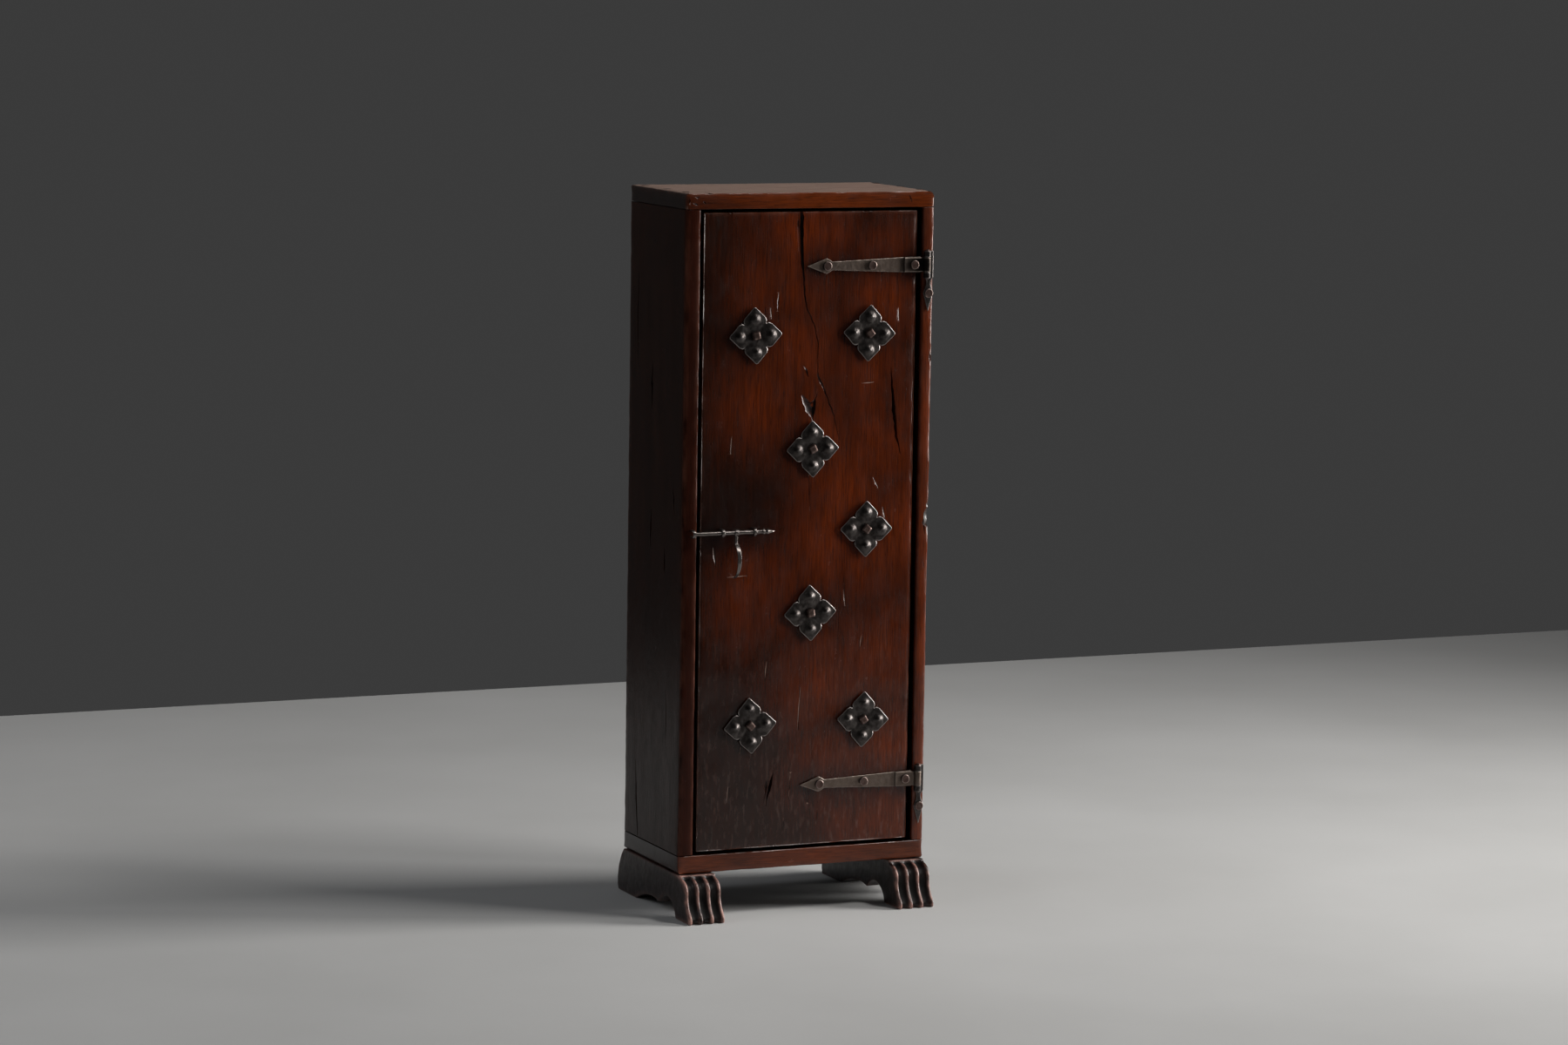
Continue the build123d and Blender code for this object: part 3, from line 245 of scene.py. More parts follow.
def waxed_hardwood(name, grain, pith, tones, shift, gloss, warm_and_lit=(), irons=(), rubbed=None,
                   scuffed_to=0.0, bare_behind=False, index=1.42):
    """Old waxed hardwood.

    grain: the axis it runs along. pith: a point on the tree's middle. tones: warm, body, dark
    and pale, the pale partly wear and partly painted highlight. shift: moves the pattern, so
    that no two boards are alike. gloss: the lowest and highest roughness. glows: where it is
    warmer and lighter, partly its own tone and partly painted light. irons: where iron has
    blackened it. rubbed: the tone of its front face, on the side boards painted light and
    shade. scuffed_to: how high it is scuffed from below. bare_behind: whether its back was
    never waxed. index: its IOR, higher where the wax is thicker.
    """
    material, tree, shader, place = start_material(name)
    warm, body, dark, pale = tones
    position = add(tree, "SeparateXYZ", {0: place})

    def drawn(size, share, detail, low, high, most=1.0):
        """Noise of one size, drawn out along the grain, with its contrast set."""
        moved = {"Vector": place, "Location": (shift, 2 * shift, 3 * shift)}
        along = add(tree, "Mapping", {**moved, "Scale": squeezed(grain, share)}).outputs[0]
        grained = {"Vector": along, "Scale": 1 / size, "Detail": detail, "Roughness": 0.62}
        field = add(tree, "TexNoise", grained).outputs["Fac"]
        contrast = {"Value": field, "From Min": low, "From Max": high, "To Max": most}
        return add(tree, "MapRange", contrast).outputs[0]

    from_pith = {"Vector": place, "Location": [-v for v in pith], "Scale": squeezed(grain, 0.055)}
    rings = add(tree, "TexWave", {
        "Vector": add(tree, "Mapping", from_pith).outputs[0],
        "Scale": 2 * math.pi / (20 * RING_SPACING), "Distortion": 7.0,
        "Detail": 3.0, "Detail Scale": 0.35, "Detail Roughness": 0.6,
    }, wave_type="RINGS", rings_direction="XYZ"[grain]).outputs["Fac"]
    clouds = drawn(CLOUD_SIZE, 0.4, 3.0, 0.34, 0.68)
    mottle = drawn(MOTTLE_SIZE, 0.5, 3.0, 0.32, 0.72)
    streaks = drawn(STREAK_WIDTH, 0.045, 5.0, 0.40, 0.74)
    pores = drawn(PORE_WIDTH, 0.06, 2.0, 0.52, 0.70)

    tone = coated(tree, body, [(dark, clouds, 0.65), (dark, rings, 0.30), (dark, mottle, 0.40)])
    # Round these spots the wood is made warmer and lighter: partly its own tone, partly painted
    # light on the lamp's side.
    if warm_and_lit:
        warm_and_lit_share = nearness(tree, place, warm_and_lit, WARM_AND_LIT_REACH)
        warm_and_lit_strength = add(tree, "MapRange", {"Value": clouds, "To Min": 0.85, "To Max": 0.35}).outputs[0]
        tone = coated(tree, tone, [(warm, warm_and_lit_share, warm_and_lit_strength)])
    # The front face gets its own tone: painted shade on the left board, painted light on the right
    # one, and the darker tones of the sides behind it are painted shade as well.
    if rubbed:
        front_face_share = add(tree, "MapRange", {
            "Value": position.outputs["Y"],
            "From Min": door_front + 9 * MM, "From Max": door_front + 1 * MM,
        }, interpolation_type="SMOOTHSTEP").outputs[0]
        front_face_tone = coated(tree, rubbed, [(dark, clouds, 0.6)])
        tone = coated(tree, tone, [(front_face_tone, front_face_share, 0.9)])
    tone = coated(tree, tone, [(dark, streaks, 0.6), ("#120703", pores, 0.55)])
    if irons:
        bloom = nearness(tree, place, irons, BLOOM_REACH)
        tone = coated(tree, tone, [("#100706", bloom, 0.6)])
    if scuffed_to:
        low_down = add(tree, "MapRange", {
            "Value": position.outputs["Z"], "From Min": scuffed_to, "From Max": SCUFFS_END,
        }).outputs[0]
        scuffs = drawn(SCUFF_SIZE, 0.25, 6.0, 0.52, 0.76, 0.22)
        tone = coated(tree, tone, [("#7d6a63", low_down, scuffs)])
    roughened = []
    if bare_behind:
        behind = add(tree, "MapRange", {
            "Value": position.outputs["Y"],
            "From Min": door_front + 8 * MM, "From Max": door_front + 16 * MM,
        }).outputs[0]
        bare = coated(tree, "#3b2216", [("#2a170f", clouds), ("#22120b", streaks)])
        tone = coated(tree, tone, [(bare, behind, 0.92)])
        roughened = [(behind, 0.3)]
    worn_and_highlit, deep, dust_and_sheen, scraped = [
        add(tree, "Attribute", attribute_name=layer).outputs["Fac"]
        for layer in ("worn_and_highlit", "deep", "dust_and_sheen", "scraped")
    ]
    # What faces up is painted paler: partly dust, partly a painted sheen.
    dust_and_sheen_tone = coated(tree, "#a58c80", [("#7a5a4c", streaks)])
    # Pale arrises are partly wear and partly a painted highlight; the dark in cracks, gouges and
    # grooves is partly dirt and partly painted shade.
    tone = coated(tree, tone, [
        (pale, worn_and_highlit, mottle, 0.8), ("#a08678", scraped, 0.8), ("#070302", deep),
        (dust_and_sheen_tone, add(tree, "MapRange", {"Value": dust_and_sheen, "To Max": 0.9}).outputs[0]),
    ])
    tree.links.new(tone, shader.inputs["Base Color"])

    polish = {"Value": mottle, "To Min": gloss[0], "To Max": gloss[1]}
    rough = add(tree, "MapRange", polish).outputs[0]
    for layer, change in [(deep, 0.4), (dust_and_sheen, 0.25), (worn_and_highlit, -0.06)] + roughened:
        changed = {0: layer, 1: change, 2: rough}
        rough = add(tree, "Math", changed, operation="MULTIPLY_ADD").outputs[0]
    tree.links.new(rough, shader.inputs["Roughness"])
    shader.inputs["IOR"].default_value = index
    furrow = add(tree, "Math", {0: streaks, 1: mottle}, operation="ADD").outputs[0]
    relief = add(tree, "Math", {0: furrow, 1: pores}, operation="ADD").outputs[0]
    bump = add(tree, "Bump", {"Height": relief, "Strength": 0.3, "Distance": -0.25 * MM})
    tree.links.new(bump.outputs[0], shader.inputs["Normal"])
    return material


# %% The hardwoods, and where iron and hands have changed them
def middle_of(node):
    """The middle of the box of a node."""
    return sum(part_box(node), Vector()) / 2


BOLT_HEIGHT = 562.5 * MM
WARM_AND_LIT_DEPTH = -97
rosette_nodes = [f"rosette_{number}" for number in range(1, 8)]
rosette_middles = [middle_of(node) for node in rosette_nodes]
strap_heights = [middle_of(node).z for node in ("hinge_strap_top", "hinge_strap_bottom")]
strap_spots = [
    Vector((along * MM, door_front, height))
    for height in strap_heights for along in (10, 60, 110, 160)
]
bolt_spots = [Vector((along * MM, door_front, BOLT_HEIGHT)) for along in (-150, -110, -80)]
# Spots where the door is warmer and lighter: partly the wood's own tone and partly painted light,
# most of them on the lamp's side.
WARM_AND_LIT_SPOTS = [Vector((x, WARM_AND_LIT_DEPTH, z)) * MM for x, z in (
    (-35, 913), (-15, 985), (-25, 830), (-60, 750), (30, 700), (115, 690), (60, 620), (100, 530),
    (30, 540), (20, 340), (130, 380), (60, 210), (140, 230), (110, 130), (-60, 470), (85, 765),
    (125, 915), (150, 560),
)]
# The last tone of each set is the pale of what is marked worn: partly wear and partly painted
# highlight, palest on the feet.
DOOR_TONES = ("#682605", "#2d0f03", "#100502", "#8f5a47")
CASE_TONES = ("#48200e", "#28120a", "#120805", "#85513f")
# The left board has tones of its own, set to how its side looks in shade.
LEFT_SHADED_TONES = ("#582813", "#31180e", "#180c08", "#85513f")
FOOT_TONES = ("#43201a", "#2a120c", "#0f0605", "#c9978a")
CASE_GLOSS = (0.15, 0.28)
door_wood = waxed_hardwood(
    "door_hardwood_waxed", Z, (0.012, -0.019, 0.0), DOOR_TONES, 0.31, (0.16, 0.28), WARM_AND_LIT_SPOTS,
    [*rosette_middles, *strap_spots, *bolt_spots], scuffed_to=0.5, bare_behind=True,
)
# Its front tone is painted shade, darker than the right board's, and its low IOR takes the sheen
# off its side.
left_wood_shaded = waxed_hardwood(
    "left_hardwood_waxed_shaded", Z, (0.10, 0.09, 0.0), LEFT_SHADED_TONES, 1.7, CASE_GLOSS,
    rubbed="#2e1008", index=1.2,
)
# The right board's front tone is painted light, lighter than the left board's.
right_wood_lit_front = waxed_hardwood(
    "right_hardwood_waxed_lit_front", Z, (0.10, 0.09, 0.0), CASE_TONES, 6.1, CASE_GLOSS, rubbed="#6c2c10",
)
rail_wood = waxed_hardwood(
    "rail_hardwood_waxed", X, (0.0, 0.05, 0.93), CASE_TONES, 2.9, CASE_GLOSS, rubbed="#6c2c08",
)
foot_wood = waxed_hardwood(
    "foot_hardwood_carved", Y, (0.0, 0.0, 0.16), FOOT_TONES, 4.1, (0.34, 0.46), index=1.5,
)
for wood in (door_wood, left_wood_shaded, right_wood_lit_front, rail_wood, foot_wood):
    print(wood.name, "has", len(wood.node_tree.nodes), "nodes")

# %% [markdown]
# ### Bare softwood
# The shelves, the cleats and the back were never meant to be seen. They are sawn softwood that
# has gone grey-brown in the dust: no wax, so no shine, and across the grain the marks of the
# frame saw every few millimetres.

# %% Bare softwood
SAW_MARK = 5.5 * MM
SAWN_STREAK = 4 * MM
SAWN_CLOUD = 70 * MM


def sawn_softwood(name, grain):
    """Dusty sawn softwood with its saw marks across the grain."""
    material, tree, shader, place = start_material(name)
    along = add(tree, "Mapping", {"Vector": place, "Scale": squeezed(grain, 0.04)}).outputs[0]
    streaks = add(tree, "TexNoise", {
        "Vector": along, "Scale": 1 / SAWN_STREAK, "Detail": 4.0, "Roughness": 0.6,
    }).outputs["Fac"]
    clouds = add(tree, "TexNoise", {
        "Vector": place, "Scale": 1 / SAWN_CLOUD, "Detail": 3.0,
    }).outputs["Fac"]
    saw = add(tree, "TexWave", {
        "Vector": place, "Scale": 2 * math.pi / (20 * SAW_MARK), "Distortion": 1.2,
        "Detail": 2.0, "Detail Scale": 1.5,
    }, wave_type="BANDS", bands_direction="XYZ"[grain]).outputs["Fac"]
    tone = coated(tree, "#6a4a31", [("#3b2618", streaks), ("#57402f", clouds)])
    tree.links.new(tone, shader.inputs["Base Color"])
    shader.inputs["Roughness"].default_value = 0.86
    relief = add(tree, "Math", {0: saw, 1: streaks}, operation="ADD").outputs[0]
    bump = add(tree, "Bump", {"Height": relief, "Strength": 0.5, "Distance": 0.3 * MM})
    tree.links.new(bump.outputs[0], shader.inputs["Normal"])
    return material


back_wood = sawn_softwood("back_softwood_sawn", Z)
shelf_wood = sawn_softwood("shelf_softwood_sawn", X)
cleat_wood = sawn_softwood("cleat_softwood_sawn", Y)
print("softwoods:", back_wood.name, shelf_wood.name, cleat_wood.name)

# %% [markdown]
# ### Forged iron
# Hammered iron is never quite flat, so its reflection breaks into soft patches about as wide
# as the hammer's face. It is almost black where scale and wax have stayed and grey where hands
# and cloths have rubbed the high places, with a little brown rust in between; the grey on the
# high places and rims is partly a painted highlight. Beside the top hinge's eye the strap is
# darkened as painted shade. The metal keeps the default IOR; only its colour, its roughness
# and its bump are patterned.

# %% Forged iron
HAMMER_MARK = 7 * MM
SCALE_GRAIN = 1.3 * MM
PAINTED_SHADE_REACH = 45 * MM


def forged_iron(name, black, grey, rust, gloss, dents=0.5 * MM, painted_shade_spots=()):
    """Forged iron, dark in the hollows, darkened as painted shade near given spots, and grey on
    what stands proud, partly as wear and partly as a painted highlight.
    """
    material, tree, shader, place = start_material(name)
    marks = add(tree, "TexNoise", {
        "Vector": place, "Scale": 1 / HAMMER_MARK, "Detail": 2.0, "Roughness": 0.5,
    }).outputs["Fac"]
    scale = add(tree, "TexNoise", {
        "Vector": place, "Scale": 1 / SCALE_GRAIN, "Detail": 3.0, "Roughness": 0.7,
    }).outputs["Fac"]
    patch = {"Value": marks, "From Min": 0.38, "From Max": 0.66, "To Max": 0.15}
    speck = {"Value": scale, "From Min": 0.45, "From Max": 0.62, "To Max": 0.35}
    rubbed, rusted = [add(tree, "MapRange", amount).outputs[0] for amount in (patch, speck)]
    tone = coated(tree, black, [(grey, rubbed), (rust, rusted)])
    # Near the given spots the iron is darkened as painted shade.
    if painted_shade_spots:
        tone = coated(tree, tone, [("#0d0b0a", nearness(tree, place, painted_shade_spots, PAINTED_SHADE_REACH))])
    # Grey where marked worn: partly wear and partly a painted highlight on the rims.
    worn_and_highlit, deep = [
        add(tree, "Attribute", attribute_name=layer).outputs["Fac"] for layer in ("worn_and_highlit", "deep")
    ]
    tone = coated(tree, tone, [(grey, worn_and_highlit), ("#0c0907", deep)])
    tree.links.new(tone, shader.inputs["Base Color"])
    shader.inputs["Metallic"].default_value = 0.9
    rough = add(tree, "MapRange", {"Value": scale, "To Min": gloss[0], "To Max": gloss[1]})
    tree.links.new(rough.outputs[0], shader.inputs["Roughness"])
    height = add(tree, "Math", {0: scale, 1: 0.25, 2: marks}, operation="MULTIPLY_ADD").outputs[0]
    bump = add(tree, "Bump", {"Height": height, "Strength": 0.5, "Distance": dents})
    tree.links.new(bump.outputs[0], shader.inputs["Normal"])
    return material


# Beside the top hinge's eye the strap is darkened as painted shade.
HINGE_SHADE = Vector((0.172, -0.1, 0.943))
rosette_iron = forged_iron("iron_forged_black", "#2c2928", "#9c9592", "#33261f", (0.25, 0.44))
strap_iron = forged_iron(
    "iron_forged_grey", "#5f544d", "#a0938a", "#604a3b", (0.30, 0.50), painted_shade_spots=[HINGE_SHADE],
)
bolt_iron = forged_iron(
    "iron_bolt_bright", "#68625f", "#b9b2ae", "#52443b", (0.18, 0.32), dents=0.15 * MM,
)
nail_iron = forged_iron("iron_nail_rusty", "#483a36", "#a4938c", "#5c382b", (0.28, 0.46))
for iron in (rosette_iron, strap_iron, bolt_iron, nail_iron):
    print(iron.name, "has", len(iron.node_tree.nodes), "nodes")

# %% [markdown]
# ### Pale floor
# A plastered floor, painted pale and never polished: matt, with clouds of tone as wide as the
# sweep of a trowel.

# %% Pale floor
PLASTER_CLOUD = 625 * MM
floor_paint, floor_tree, floor_shader, floor_place = start_material("floor_plaster_pale")
floor_clouds = add(floor_tree, "TexNoise", {
    "Vector": floor_place, "Scale": 1 / PLASTER_CLOUD, "Detail": 5.0,
}).outputs["Fac"]
floor_tone = coated(floor_tree, "#bcbcbb", [("#d6d6d6", floor_clouds)])
floor_tree.links.new(floor_tone, floor_shader.inputs["Base Color"])
floor_shader.inputs["Roughness"].default_value = 0.6
floor.data.materials.append(floor_paint)
print("floor:", floor_paint.name)

# %% [markdown]
# ## Helpers for the modelling
# The pieces are built as by hand: a primitive is placed, faces and edges are picked by where
# they lie, and edit-mode tools and applied modifiers do the rest. These few helpers pick
# things, cut one piece with another, and finish a piece.

# %% Picking, applying and finishing
def sole_selection(piece):
    """Makes one object the active one and the only one selected."""
    bpy.ops.object.select_all(action="DESELECT")
    piece.select_set(True)
    bpy.context.view_layer.objects.active = piece


def pick(piece, kind, test):
    """In edit mode, selects the vertices, edges or faces whose middle and direction pass a test."""
    bpy.ops.mesh.select_mode(type=kind)
    bpy.ops.mesh.select_all(action="DESELECT")
    grown = bmesh.from_edit_mesh(piece.data)
    items = {"VERT": grown.verts, "EDGE": grown.edges, "FACE": grown.faces}[kind]
    for item in items:
        if kind == "VERT":
            chosen = test(item.co, item.normal)
        elif kind == "EDGE":
            start, end = [vert.co for vert in item.verts]
            chosen = test((start + end) / 2, (end - start).normalized())
        else:
            chosen = test(item.calc_center_median(), item.normal)
        item.select_set(chosen)
    grown.select_flush_mode()
    bmesh.update_edit_mesh(piece.data)


def edit(piece):
    """Goes into edit mode on one piece."""
    sole_selection(piece)
    bpy.ops.object.mode_set(mode="EDIT")


def leave():
    """Goes back to object mode."""
    bpy.ops.object.mode_set(mode="OBJECT")


def modify(piece, kind, **settings):
    """Adds a modifier to a piece, sets it and applies it."""
    sole_selection(piece)
    modifier = piece.modifiers.new(kind.lower(), kind)
    for name, value in settings.items():
        setattr(modifier, name, value)
    bpy.ops.object.modifier_apply(modifier=modifier.name)


def carve(piece, cutter):
    """Cuts one piece out of another and removes the cutter."""
    modify(piece, "BOOLEAN", operation="DIFFERENCE", solver="EXACT", object=cutter)
    bpy.data.objects.remove(cutter)


def settle(piece):
    """Puts a piece's place, turn and size into its mesh."""
    sole_selection(piece)
    bpy.ops.object.transform_apply(location=True, rotation=True, scale=True)


def block(low, high):
    """A cube primitive that fills a box."""
    low, high = Vector(low), Vector(high)
    bpy.ops.object.select_all(action="DESELECT")
    bpy.ops.mesh.primitive_cube_add(size=1, location=(low + high) / 2)
    made = bpy.context.active_object
    made.scale = high - low
    settle(made)
    return made


def join(pieces):
    """Several meshes as one object."""
    sole_selection(pieces[0])
    for piece in pieces[1:]:
        piece.select_set(True)
    if len(pieces) > 1:
        bpy.ops.object.join()
    return pieces[0]


def finish(piece, name, body, material, nodes, angle=35, clean=True):
    """Names a piece, closes and turns its mesh outwards, and gives it finish, body and nodes."""
    settle(piece)
    piece.name = name
    piece.data.name = name
    if clean:
        edit(piece)
        bpy.ops.mesh.select_all(action="SELECT")
        bpy.ops.mesh.remove_doubles(threshold=0.02 * MM)
        bpy.ops.mesh.normals_make_consistent(inside=False)
        leave()
    bpy.ops.object.shade_smooth_by_angle(angle=math.radians(angle))
    piece.data.materials.clear()
    piece.data.materials.append(material)
    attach(piece, body)
    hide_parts(*nodes)
    faces = sum(len(face.vertices) - 2 for face in piece.data.polygons)
    print(f"{name}: {faces} triangles")


def write_layer(piece, name, values):
    """Stores one number for each vertex, from 0 to 1, for the material to read."""
    layer = piece.data.attributes.get(name) or piece.data.attributes.new(name, "FLOAT", "POINT")
    layer.data.foreach_set("value", np.clip(values, 0, 1).astype(np.float32))


def places_of(piece):
    """The vertices of a piece as rows of three numbers."""
    flat = np.empty(len(piece.data.vertices) * 3)
    piece.data.vertices.foreach_get("co", flat)
    return flat.reshape(-1, 3)


def normals_of(piece):
    """The directions its vertices face, as rows of three numbers."""
    flat = np.empty(len(piece.data.vertices) * 3)
    piece.data.vertices.foreach_get("normal", flat)
    return flat.reshape(-1, 3)


# %% [markdown]
# ## The planks
# A plank is a cube that is divided into cells of about a centimetre, so that it has enough
# points to be uneven. Its edges are bevelled, then two noise textures push the surface in: one
# squeezed along the grain, as the plane left it, and one that only works near the arrises,
# where years of knocks have chewed them. The noise only pushes inwards, so that a plank never
# outgrows its solid. Cracks and gouges are cut last, each with a tapered tool of its own.

# %% Dividing and rounding a plank
CELL = 11 * MM
ARRIS_REACH = 11 * MM
JOINED_ARRIS = 0.8 * MM
PLANED_WAVE = 22 * MM
CHEWED_WAVE = 17 * MM
GRAIN_STRETCH = 7.0
TOUCHING = 0.01 * MM
FAR_OFF = 100 * MM
DIRT_AND_SHADE_START, DIRT_AND_SHADE_REACH = 1.6 * MM, 2.2 * MM


def divide(piece, low, high):
    """Divides a block along all three axes by cutting each ladder of parallel edges."""
    edit(piece)
    for axis in (X, Y, Z):
        cuts = max(1, round((high[axis] - low[axis]) / CELL) - 1)
        pick(piece, "EDGE", lambda middle, along: abs(along[axis]) > 0.999)
        bpy.ops.mesh.subdivide(number_cuts=cuts)
    leave()


def knocked_box(low, high, joined):
    """The box of a plank with its joined ends moved far off, since those take no knocks."""
    box = [Vector(low), Vector(high)]
    for axis, end in joined:
        box[end][axis] += (-FAR_OFF, FAR_OFF)[end]
    return box


def on_box_edge(middle, along, low, high):
    """Whether an edge lies on one of the twelve edges of a box."""
    gaps = [min(abs(middle[a] - low[a]), abs(middle[a] - high[a])) for a in (X, Y, Z)]
    return sum(gap < TOUCHING for gap in gaps) >= 2 and max(abs(v) for v in along) > 0.999


def arris_distance(places, low, high):
    """How deep each point lies under the nearest, second and third nearest side of a box."""
    return np.sort(np.minimum(places - np.array(low), np.array(high) - places), axis=1)


def roughen(piece, name, size, strength, mid_level=1.0, depth=2, **settings):
    """Moves a surface by a cloud pattern of one size; with a mid level of 1 only inwards."""
    texture = bpy.data.textures.new(name, "CLOUDS")
    texture.noise_scale = size
    texture.noise_depth = depth
    settings = {"texture_coords": "LOCAL", **settings}
    modify(piece, "DISPLACE", texture=texture, mid_level=mid_level, strength=strength, **settings)


def uneven(piece, low, high, grain, planed, chewed):
    """Pushes a plank in along its grain, and more along its arrises."""
    guide = bpy.data.objects.new("grain_guide", None)
    bpy.context.scene.collection.objects.link(guide)
    guide.location = low
    guide.scale[grain] = GRAIN_STRETCH
    bpy.context.view_layer.update()
    drawn_out = {"texture_coords": "OBJECT", "texture_coords_object": guide}
    roughen(piece, "planed", PLANED_WAVE, planed, **drawn_out)
    bpy.data.objects.remove(guide)
    near = 1 - arris_distance(places_of(piece), low, high)[:, 1] / ARRIS_REACH
    group = piece.vertex_groups.new(name="arris")
    for index in np.flatnonzero(near > 0):
        group.add([int(index)], float(near[index]), "REPLACE")
    roughen(piece, "chewed", CHEWED_WAVE, chewed, depth=3, vertex_group="arris")


def plank(node, grain, arris, planed, chewed, joined=(), corners=()):
    """A divided, rounded and uneven plank that fills the box of a node.

    arris: how far its edges are rounded. planed and chewed: how deep the surface and the
    arrises are pushed in. joined: the ends that meet other boards. corners: a test and a
    radius for each corner that is rounder.
    """
    own_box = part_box(node)
    piece = block(*own_box)
    divide(piece, *own_box)
    knocked = knocked_box(*own_box, joined)
    edit(piece)
    for at_corner, radius in corners:
        pick(piece, "EDGE", lambda middle, along: (
            at_corner(middle) and on_box_edge(middle, along, *knocked)))
        bpy.ops.mesh.bevel(offset=radius, segments=5, affect="EDGES")
    if joined:
        pick(piece, "EDGE", lambda middle, along: (
            on_box_edge(middle, along, *own_box) and not on_box_edge(middle, along, *knocked)))
        bpy.ops.mesh.bevel(offset=JOINED_ARRIS, segments=1, affect="EDGES")
    pick(piece, "EDGE", lambda middle, along: on_box_edge(middle, along, *knocked))
    bpy.ops.mesh.bevel(offset=arris, segments=3, affect="EDGES")
    leave()
    modify(piece, "SUBSURF", subdivision_type="SIMPLE", levels=1, render_levels=1)
    uneven(piece, *knocked, grain, planed, chewed)
    return piece


def weather(piece, node, joined, worn_and_highlit_reach):
    """Marks what is worn, near the arrises, for wear and a painted highlight, and what is deep,
    inside cracks and gouges, for dirt and painted shade.
    """
    places, own_box = places_of(piece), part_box(node)
    under = arris_distance(places, *own_box)[:, 0]
    write_layer(piece, "deep", (under - DIRT_AND_SHADE_START) / DIRT_AND_SHADE_REACH)
    from_arris = arris_distance(places, *knocked_box(*own_box, joined))[:, 1]
    write_layer(piece, "worn_and_highlit", np.exp(-from_arris / worn_and_highlit_reach))


# %% [markdown]
# ### Cracks, gouges and bites
# A crack runs with the grain, but wanders. Its tool is a curve through a few points, each with
# its own half width, thickened to a four-sided or round bar and stretched into the wood. The
# path is divided into short straight steps that a fixed noise shakes a little, so that it is
# the same each time.

# %% Gouging
SHAKE_PITCH = 0.11
RAY_START = 50 * MM
DEEPEST_DENT = 4 * MM
THINNEST = 0.08


def wandering(path, step, shake):
    """Points along a path, closer together and shaken sideways; each is x, y, z and half width."""
    rows = []
    for first, second in zip(path, path[1:]):
        count = max(1, round((Vector(second[:3]) - Vector(first[:3])).length / step))
        for index in range(count):
            share = index / count
            row = [a + (b - a) * share for a, b in zip(first, second)]
            here = Vector(row[:3]) * SHAKE_PITCH
            sideways = shake * noise.noise(here) * min(1.0, row[3])
            row[0] += sideways
            row[1] += sideways
            row[3] *= 1 + 0.5 * noise.noise(here * 1.7 + Vector((3, 5, 7)))
            rows.append(row)
    rows.append(list(path[-1]))
    return rows


def surface_shift(piece, place, axis):
    """How far a piece's own surface lies from a place that should be on it, along one axis."""
    low, high = [Vector(corner) for corner in (piece.bound_box[0], piece.bound_box[6])]
    outwards = 1 if place[axis] > (low[axis] + high[axis]) / 2 else -1
    start, way = place.copy(), Vector((0, 0, 0))
    start[axis] += outwards * RAY_START
    way[axis] = -outwards
    hit, touched, _, _ = piece.ray_cast(start, way)
    shift = touched[axis] - place[axis] if hit else 0.0
    return shift if abs(shift) < DEEPEST_DENT else 0.0


def gouge(piece, axis, deep, path, step=6.0, shake=1.5, sides=0):
    """A tapered tool along a path in millimetres, laid on the surface that faces an axis.

    deep: its depth as a share of its half width. sides: 0 for a sharp bar, more for a round one.
    """
    rows = wandering(path, step, shake)
    line = bpy.data.curves.new("gouge", "CURVE")
    line.dimensions = "3D"
    line.bevel_depth = MM
    line.bevel_resolution = sides
    line.use_fill_caps = True
    spline = line.splines.new("POLY")
    spline.points.add(len(rows) - 1)
    for point, row in zip(spline.points, rows):
        place = Vector(row[:3]) * MM
        place[axis] = surface_shift(piece, place, axis) / deep
        point.co = (*place, 1.0)
        point.radius = max(THINNEST, row[3])
    cutter = bpy.data.objects.new("gouge", line)
    bpy.context.scene.collection.objects.link(cutter)
    cutter.location[axis] = path[0][axis] * MM
    cutter.scale[axis] = deep
    sole_selection(cutter)
    bpy.ops.object.convert(target="MESH")
    settle(cutter)
    return cutter


def mark(piece, marks):
    """Cuts several gouges that don't touch each other in one go."""
    carve(piece, join([gouge(piece, *each) for each in marks]))
    print(len(marks), "marks cut, now", len(piece.data.polygons), "faces")


# %% [markdown]
# ## The case
# The top and bottom boards run over the ends of the two side boards, and all four have a
# rebate round the back for the back planks. The front edge of each side board is the stile
# that shows beside the door. The left board has short cracks, the right one a big bite out of
# its front arris, and the top board small chips and two rounded corners.

# %% Boards with a rebate, and where their marks lie
rebate_low = Vector(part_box("back_plank_left")[0])
rebate_high = Vector(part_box("back_plank_right")[1])
rebate_high.y = cad_high.y
REBATE_ROOM = Vector((1, 0, 1)) * MM
ENDS = ((Z, 0), (Z, 1))
left_x, right_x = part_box("left_side")[0].x / MM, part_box("right_side")[1].x / MM
front_y, top_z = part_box("left_side")[0].y / MM, cad_high.z / MM
# The step and the shake of the path and the sides of the tool, for a nick and for a chip.
NICK = (4.0, 1.0, 1)
CHIP = (3.0, 1.0, 1)


def case_board(node, grain, joined, rounds=(), corners=()):
    """One board of the case with its rebate, its rounds of marks and its wear."""
    piece = plank(node, grain, 3.2 * MM, 0.7 * MM, 1.53 * MM, joined, corners)
    carve(piece, block(rebate_low - REBATE_ROOM, rebate_high + REBATE_ROOM))
    for marks in rounds:
        mark(piece, marks)
    weather(piece, node, joined, 2.4 * MM)
    return piece


def on_front(*points):
    """Points of the front in millimetres, given as x, z and half width."""
    return [(x, front_y, z, width) for x, z, width in points]


def on_left(*points):
    """Points of the left side in millimetres, given as y, z and half width."""
    return [(left_x, y, z, width) for y, z, width in points]


def on_right_arris(*points):
    """Points of the right front arris in millimetres, given as z and half width."""
    return [(right_x, front_y, z, width) for z, width in points]


